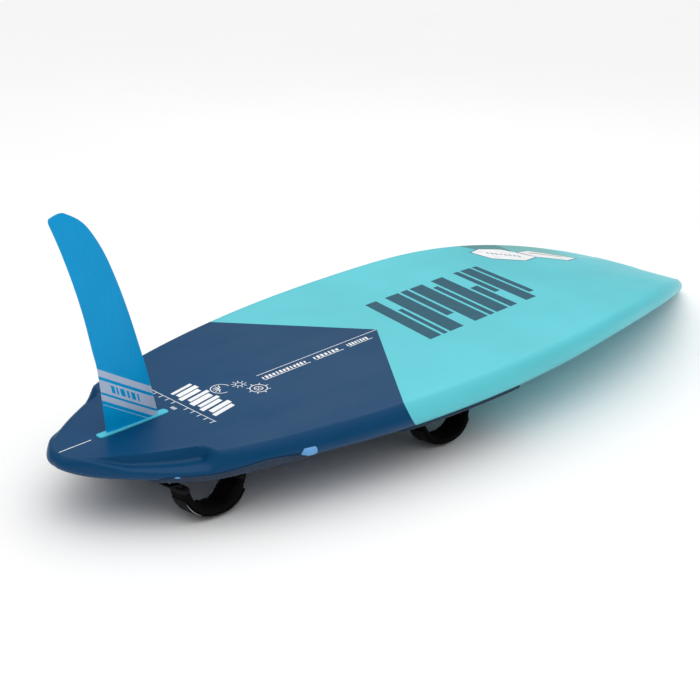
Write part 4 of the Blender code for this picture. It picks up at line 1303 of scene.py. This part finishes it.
def build_cover(tag, axes, height):
    """The padded cover: foam under jersey, pulled in along its seams, with soft folds on
    the inside of the bends."""
    seed = Vector((STRAPS.index(tag) * 3.1, 0.7, 1.9))

    def section(share, degrees):
        width, thick = cover_size(degrees)
        ends = min(share, 1 - share)
        closing = 1 - 0.55 * (1 - min(ends / 0.035, 1.0)) ** 2
        seam = math.exp(-((min(abs(share - 0.10), abs(share - 0.90)) / 0.008) ** 2))
        points = []
        inward = padding(tag, degrees)
        for v, lift in oval(width * (0.985 - 0.02 * seam), thick * 0.96 + inward, 3.0, 56):
            swell = noise.noise(Vector((share * 5.0, v * 45.0, lift * 90.0)) + seed) * 0.0010
            folds = 0.0
            if lift < 0:
                in_bend = smooth_step(1 - abs(share - 0.5) * 2.6)
                folds = 0.0009 * math.sin(share * 74.0 + v * 60.0 + seed.x) * in_bend
            stretch = 1 + (swell + folds) / (thick / 2)
            lift *= closing * (1 - 0.14 * seam) * stretch
            points.append((v * (1 - 0.02 * (1 - closing)), lift - inward / 2))
        return points

    bm = loft(arch_sweep(height, COVER_FROM, COVER_TO, 110, section))
    core = webbing_room(height, COVER_FROM - 5, COVER_TO + 5, 60)
    made = piece(f"strap_cover_{tag}_padded", carved(bm, [core]), ["jersey"], "board",
                 place=axes, smooth=60, stands_for=(f"strap_cover_{tag}",))


def build_flap(tag, axes, height):
    """The closing flap round the outside of the cover and the rows of stitches on it; on the
    rear straps a short pale piping runs along its outboard edge."""
    outboard = -1 if tag.endswith("right") else 1
    across = (BOARD.to_3x3() @ Vector((0, outboard, 0))).dot(axes.col[1].to_3d())
    hand = 1 if across > 0 else -1

    def flap(share, degrees):
        width, thick = cover_size(degrees)
        low, high = -0.36 * width, 0.440 * width
        top = thick / 2
        points = []
        for i in range(17):
            v = low + (high - low) * i / 16
            round_off = 0.0012 * (abs(v) / (width / 2)) ** 4
            edge = min(i, 16 - i, 2) / 2
            points.append((hand * v, top + 0.0004 + 0.0014 * edge - round_off))
        for i in range(16, -1, -1):
            v = low + (high - low) * i / 16
            round_off = 0.0012 * (abs(v) / (width / 2)) ** 4
            points.append((hand * v, top - 0.0012 - round_off))
        return points

    made = piece(f"strap_flap_{tag}", loft(arch_sweep(height, 24, 150, 80, flap)), ["hook"],
                 "board", place=axes, smooth=50)

    def piping(share, degrees):
        width, thick = cover_size(degrees)
        fade = max(0.0, math.sin(math.pi * share)) ** 0.4
        radius = 0.00015 + 0.00055 * fade
        centre = (hand * 0.452 * width, thick / 2 - 0.0004)
        return [(centre[0] + radius * math.cos(2 * math.pi * i / 12),
                 centre[1] + radius * math.sin(2 * math.pi * i / 12)) for i in range(12)]

    if tag.startswith("rear"):
        piece(f"strap_piping_{tag}", loft(arch_sweep(height, 30, 64, 34, piping)), ["piping"],
              "board", place=axes, smooth=60)

    stitches = []
    for v_share in (-0.30, 0.385):
        degrees = 27.0
        while degrees < 147:
            loops = []
            for step in (0.0, 0.35, 0.65, 1.0):
                at = degrees + 2.3 * step
                width, thick = cover_size(at)
                here, out = arch_frame(at, height)
                round_off = 0.0012 * (2 * abs(v_share)) ** 4
                lift = thick / 2 + 0.00195 - round_off + 0.00025 * math.sin(math.pi * step)
                loops.append([(here.x + out.x * (lift + 0.0003 * math.sin(a)),
                               hand * v_share * width + 0.0004 * math.cos(a),
                               here.y + out.y * (lift + 0.0003 * math.sin(a)))
                              for a in (math.pi / 3 * k for k in range(6))])
            stitches.append(loft(loops))
            degrees += 3.4
    piece(f"strap_stitches_{tag}", merge(*stitches), ["thread"], "board", place=axes, smooth=60)


def build_bindings(tag, axes, height):
    """A folded tape round each end of the cover."""
    for label, start, end in (("aft", COVER_FROM - 1.0, COVER_FROM + 6.5),
                              ("fore", COVER_TO - 6.5, COVER_TO + 1.0)):

        def tape(share, degrees):
            width, thick = cover_size(degrees)
            swell = 0.0010 * math.sin(math.pi * share) ** 0.5
            inward = padding(tag, degrees)
            return [(v, lift - inward / 2) for v, lift in
                    oval(width + 0.0004 + 2 * swell, thick * 0.90 + inward + 2 * swell, 3.0, 56)]

        solid = loft(arch_sweep(height, start, end, 14, tape))
        hole = webbing_room(height, start - 6, end + 6, 12)
        made = piece(f"strap_binding_{tag}_{label}", carved(solid, [hole]), ["webbing"], "board",
                     place=axes, smooth=60)


def build_webbing(tag, axes, height):
    """The webbing that carries the load, from screw to screw."""
    heel = STRAP_HALF + 0.003
    path = [Vector((-STRAP_HALF - FOOT_LENGTH + 0.0022 * i, WEB_BASE)) for i in range(13)]
    path = [p for p in path if p.x < -heel - 0.001] + [Vector((-heel, WEB_BASE))]
    path += [arch_point(a, height) for a in range(4, 177, 2)]
    path.append(Vector((heel, WEB_BASE)))
    path += [Vector((-p.x, p.y)) for p in path[:9][::-1] if -p.x > heel + 0.001]
    loops = []
    for i, here in enumerate(path):
        before, after = path[max(i - 1, 0)], path[min(i + 1, len(path) - 1)]
        along = (after - before).normalized()
        out = Vector((-along.y, along.x))
        rib = 0.00018 * math.sin(i * 2.4)
        loops.append([(here.x + out.x * lift, v, here.y + out.y * lift)
                      for v, lift in oval(WEB_WIDTH, WEB_THICK - 0.0003 + rib, 9.0, 32)])
    holes = [turned([(SCREW_HOLE, -0.01), (SCREW_HOLE, 0.03)], (u, 0), 24) for u in (-FOOT_U, FOOT_U)]
    made = piece(f"strap_webbing_{tag}_woven", carved(loft(loops), holes), ["webbing"], "board",
                 place=axes, smooth=50, stands_for=(f"strap_webbing_{tag}",))


def build_strap_fixings(tag, axes):
    top = WEB_BASE + WEB_THICK / 2 + GAP
    head = top + 0.0020 + GAP
    for u, end in ((-FOOT_U, "aft"), (FOOT_U, "fore")):
        rows = [rounded_rectangle((u, 0), 0.020 - d, 0.030 - d, top + z, 0.004 - d / 2) for d, z in
                ((0.0010, 0.0), (0.0, 0.0004), (0.0, 0.0013), (0.0006, 0.0018), (0.0022, 0.0020))]
        washer = carved(loft(rows), [turned([(0.0029, -0.018), (0.0029, 0.04)], (u, 0), 24)])
        piece(f"strap_washer_{tag}_{end}_moulded", washer, ["black_plastic"], "board", place=axes,
              smooth=40, stands_for=(f"strap_washer_{tag}_{end}",))
        profile = [(0.0010, -0.0170), (0.0022, -0.0150)]
        z = -0.0145
        while z < top - 0.006:
            profile += [(SCREW_RADIUS, z), (0.0018, z + 0.0007)]
            z += 0.0014
        profile += [(SCREW_RADIUS, top - 0.003), (SCREW_RADIUS, head), (0.0052, head),
                    (0.0055, head + 0.0003), (0.0055, head + 0.0012), (0.0048, head + 0.0022),
                    (0.0036, head + 0.0029), (0.0016, head + 0.0031)]
        cross = [loft([rounded_rectangle((u, 0), a, b, z, 0.0003, 3)
                       for z in (head + 0.0008, head + 0.01)])
                 for a, b in ((0.0052, 0.0010), (0.0010, 0.0052))]
        screw = carved(turned(profile, (u, 0), 32), cross)
        piece(f"strap_screw_{tag}_{end}_turned", screw, ["steel"], "board", place=axes, smooth=40,
              stands_for=(f"strap_screw_{tag}_{end}",))


def build_straps():
    for tag in STRAPS:
        axes = strap_axes(tag)
        height = strap_height(tag, axes)
        build_webbing(tag, axes, height)
        build_cover(tag, axes, height)
        build_flap(tag, axes, height)
        build_bindings(tag, axes, height)
        build_strap_fixings(tag, axes)


# ---- inner pieces that keep their frame meshes -------------------------------------------
def finish_inner_nodes():
    for name, node in frame["nodes"].items():
        if name == "foam_core":
            finish = "core"
        elif name == "vent_o_ring":
            finish = "rubber"
        else:
            finish = "grey_plastic"
        node.data.materials.clear()
        node.data.materials.append(FINISHES[finish])


# ---- stage --------------------------------------------------------------------------
CAMERA_PLACE = Vector((-1.08888, -1.88836, 1.12808))    # in board axes
CAMERA_YAW, CAMERA_PITCH, CAMERA_ROLL = 44.667, 23.261, 0.2138
CAMERA_LENS = 62.99


def build_camera():
    yaw, pitch, roll = (math.radians(a) for a in (CAMERA_YAW, CAMERA_PITCH, CAMERA_ROLL))
    ahead = Vector((math.cos(pitch) * math.cos(yaw), math.cos(pitch) * math.sin(yaw), -math.sin(pitch)))
    level = Vector((math.sin(yaw), -math.cos(yaw), 0))
    over = level.cross(ahead)
    right = level * math.cos(roll) + over * math.sin(roll)
    up = over * math.cos(roll) - level * math.sin(roll)
    turn = BOARD.to_3x3() @ Matrix((right, up, -ahead)).transposed()
    data = bpy.data.cameras.new("camera")
    data.lens = CAMERA_LENS
    data.sensor_width = 36.0
    camera = bpy.data.objects.new("camera", data)
    camera.matrix_world = Matrix.Translation(BOARD @ CAMERA_PLACE) @ turn.to_4x4()
    bpy.context.scene.collection.objects.link(camera)
    bpy.context.scene.camera = camera


WORLD_STRENGTH = 1.33


def build_world():
    """A white studio: dim walls, and a bright soft ceiling."""
    world = bpy.data.worlds.new("studio")
    world.use_nodes = True
    nodes, links = world.node_tree.nodes, world.node_tree.links
    place = nodes.new("ShaderNodeTexCoord")
    split = nodes.new("ShaderNodeSeparateXYZ")
    ramp = nodes.new("ShaderNodeValToRGB")
    links.new(place.outputs["Generated"], split.inputs["Vector"])
    links.new(split.outputs["Z"], ramp.inputs["Fac"])
    links.new(ramp.outputs["Color"], nodes["Background"].inputs["Color"])
    ramp.color_ramp.elements[0].position = 0.0
    ramp.color_ramp.elements[0].color = (0.16, 0.16, 0.16, 1)
    ramp.color_ramp.elements[1].position = 1.0
    ramp.color_ramp.elements[1].color = (1.0, 1.0, 1.0, 1)
    for height, value in ((0.40, 0.24), (0.72, 0.90)):
        ramp.color_ramp.elements.new(height).color = (value, value, value, 1)
    nodes["Background"].inputs["Strength"].default_value = WORLD_STRENGTH
    bpy.context.scene.world = world


FLOOR_SIZE, FLOOR_LEVEL = 30.0, -0.0005
# place, size and watts
LIGHTS = (("key", (-1.6, -1.4, 3.2), 2.6, 16), ("fill", (2.2, 1.8, 3.0), 3.0, 10))


def build_stage():
    floor_finish = Finish("studio_floor", "FFFFFF", 0.9)
    floor_finish.tone(0.01, 1.0)
    bm = bmesh.new()
    bmesh.ops.create_grid(bm, x_segments=1, y_segments=1, size=FLOOR_SIZE)
    mesh = bpy.data.meshes.new("studio_floor")
    bm.to_mesh(mesh)
    bm.free()
    mesh.materials.append(floor_finish.material)
    floor = bpy.data.objects.new("studio_floor", mesh)
    floor.location.z = FLOOR_LEVEL
    bpy.context.scene.collection.objects.link(floor)
    build_world()
    for name, place, size, power in LIGHTS:
        light = bpy.data.lights.new(name, "AREA")
        light.shape = "SQUARE"
        light.size = size
        light.energy = power
        lamp = bpy.data.objects.new(name, light)
        lamp.location = place
        lamp.rotation_euler = (-Vector(place)).to_track_quat("-Z", "Y").to_euler()
        bpy.context.scene.collection.objects.link(lamp)
    bpy.context.scene.view_settings.view_transform = "Standard"


# ---- the whole scene -------------------------------------------------------------------
finish_inner_nodes()
build_hull()
build_bottom_prints()
build_nose_prints()
build_fin()
build_fin_box()
build_mast_track()
build_vent()
build_pads()
build_pad_tabs()
build_straps()
build_camera()
build_stage()
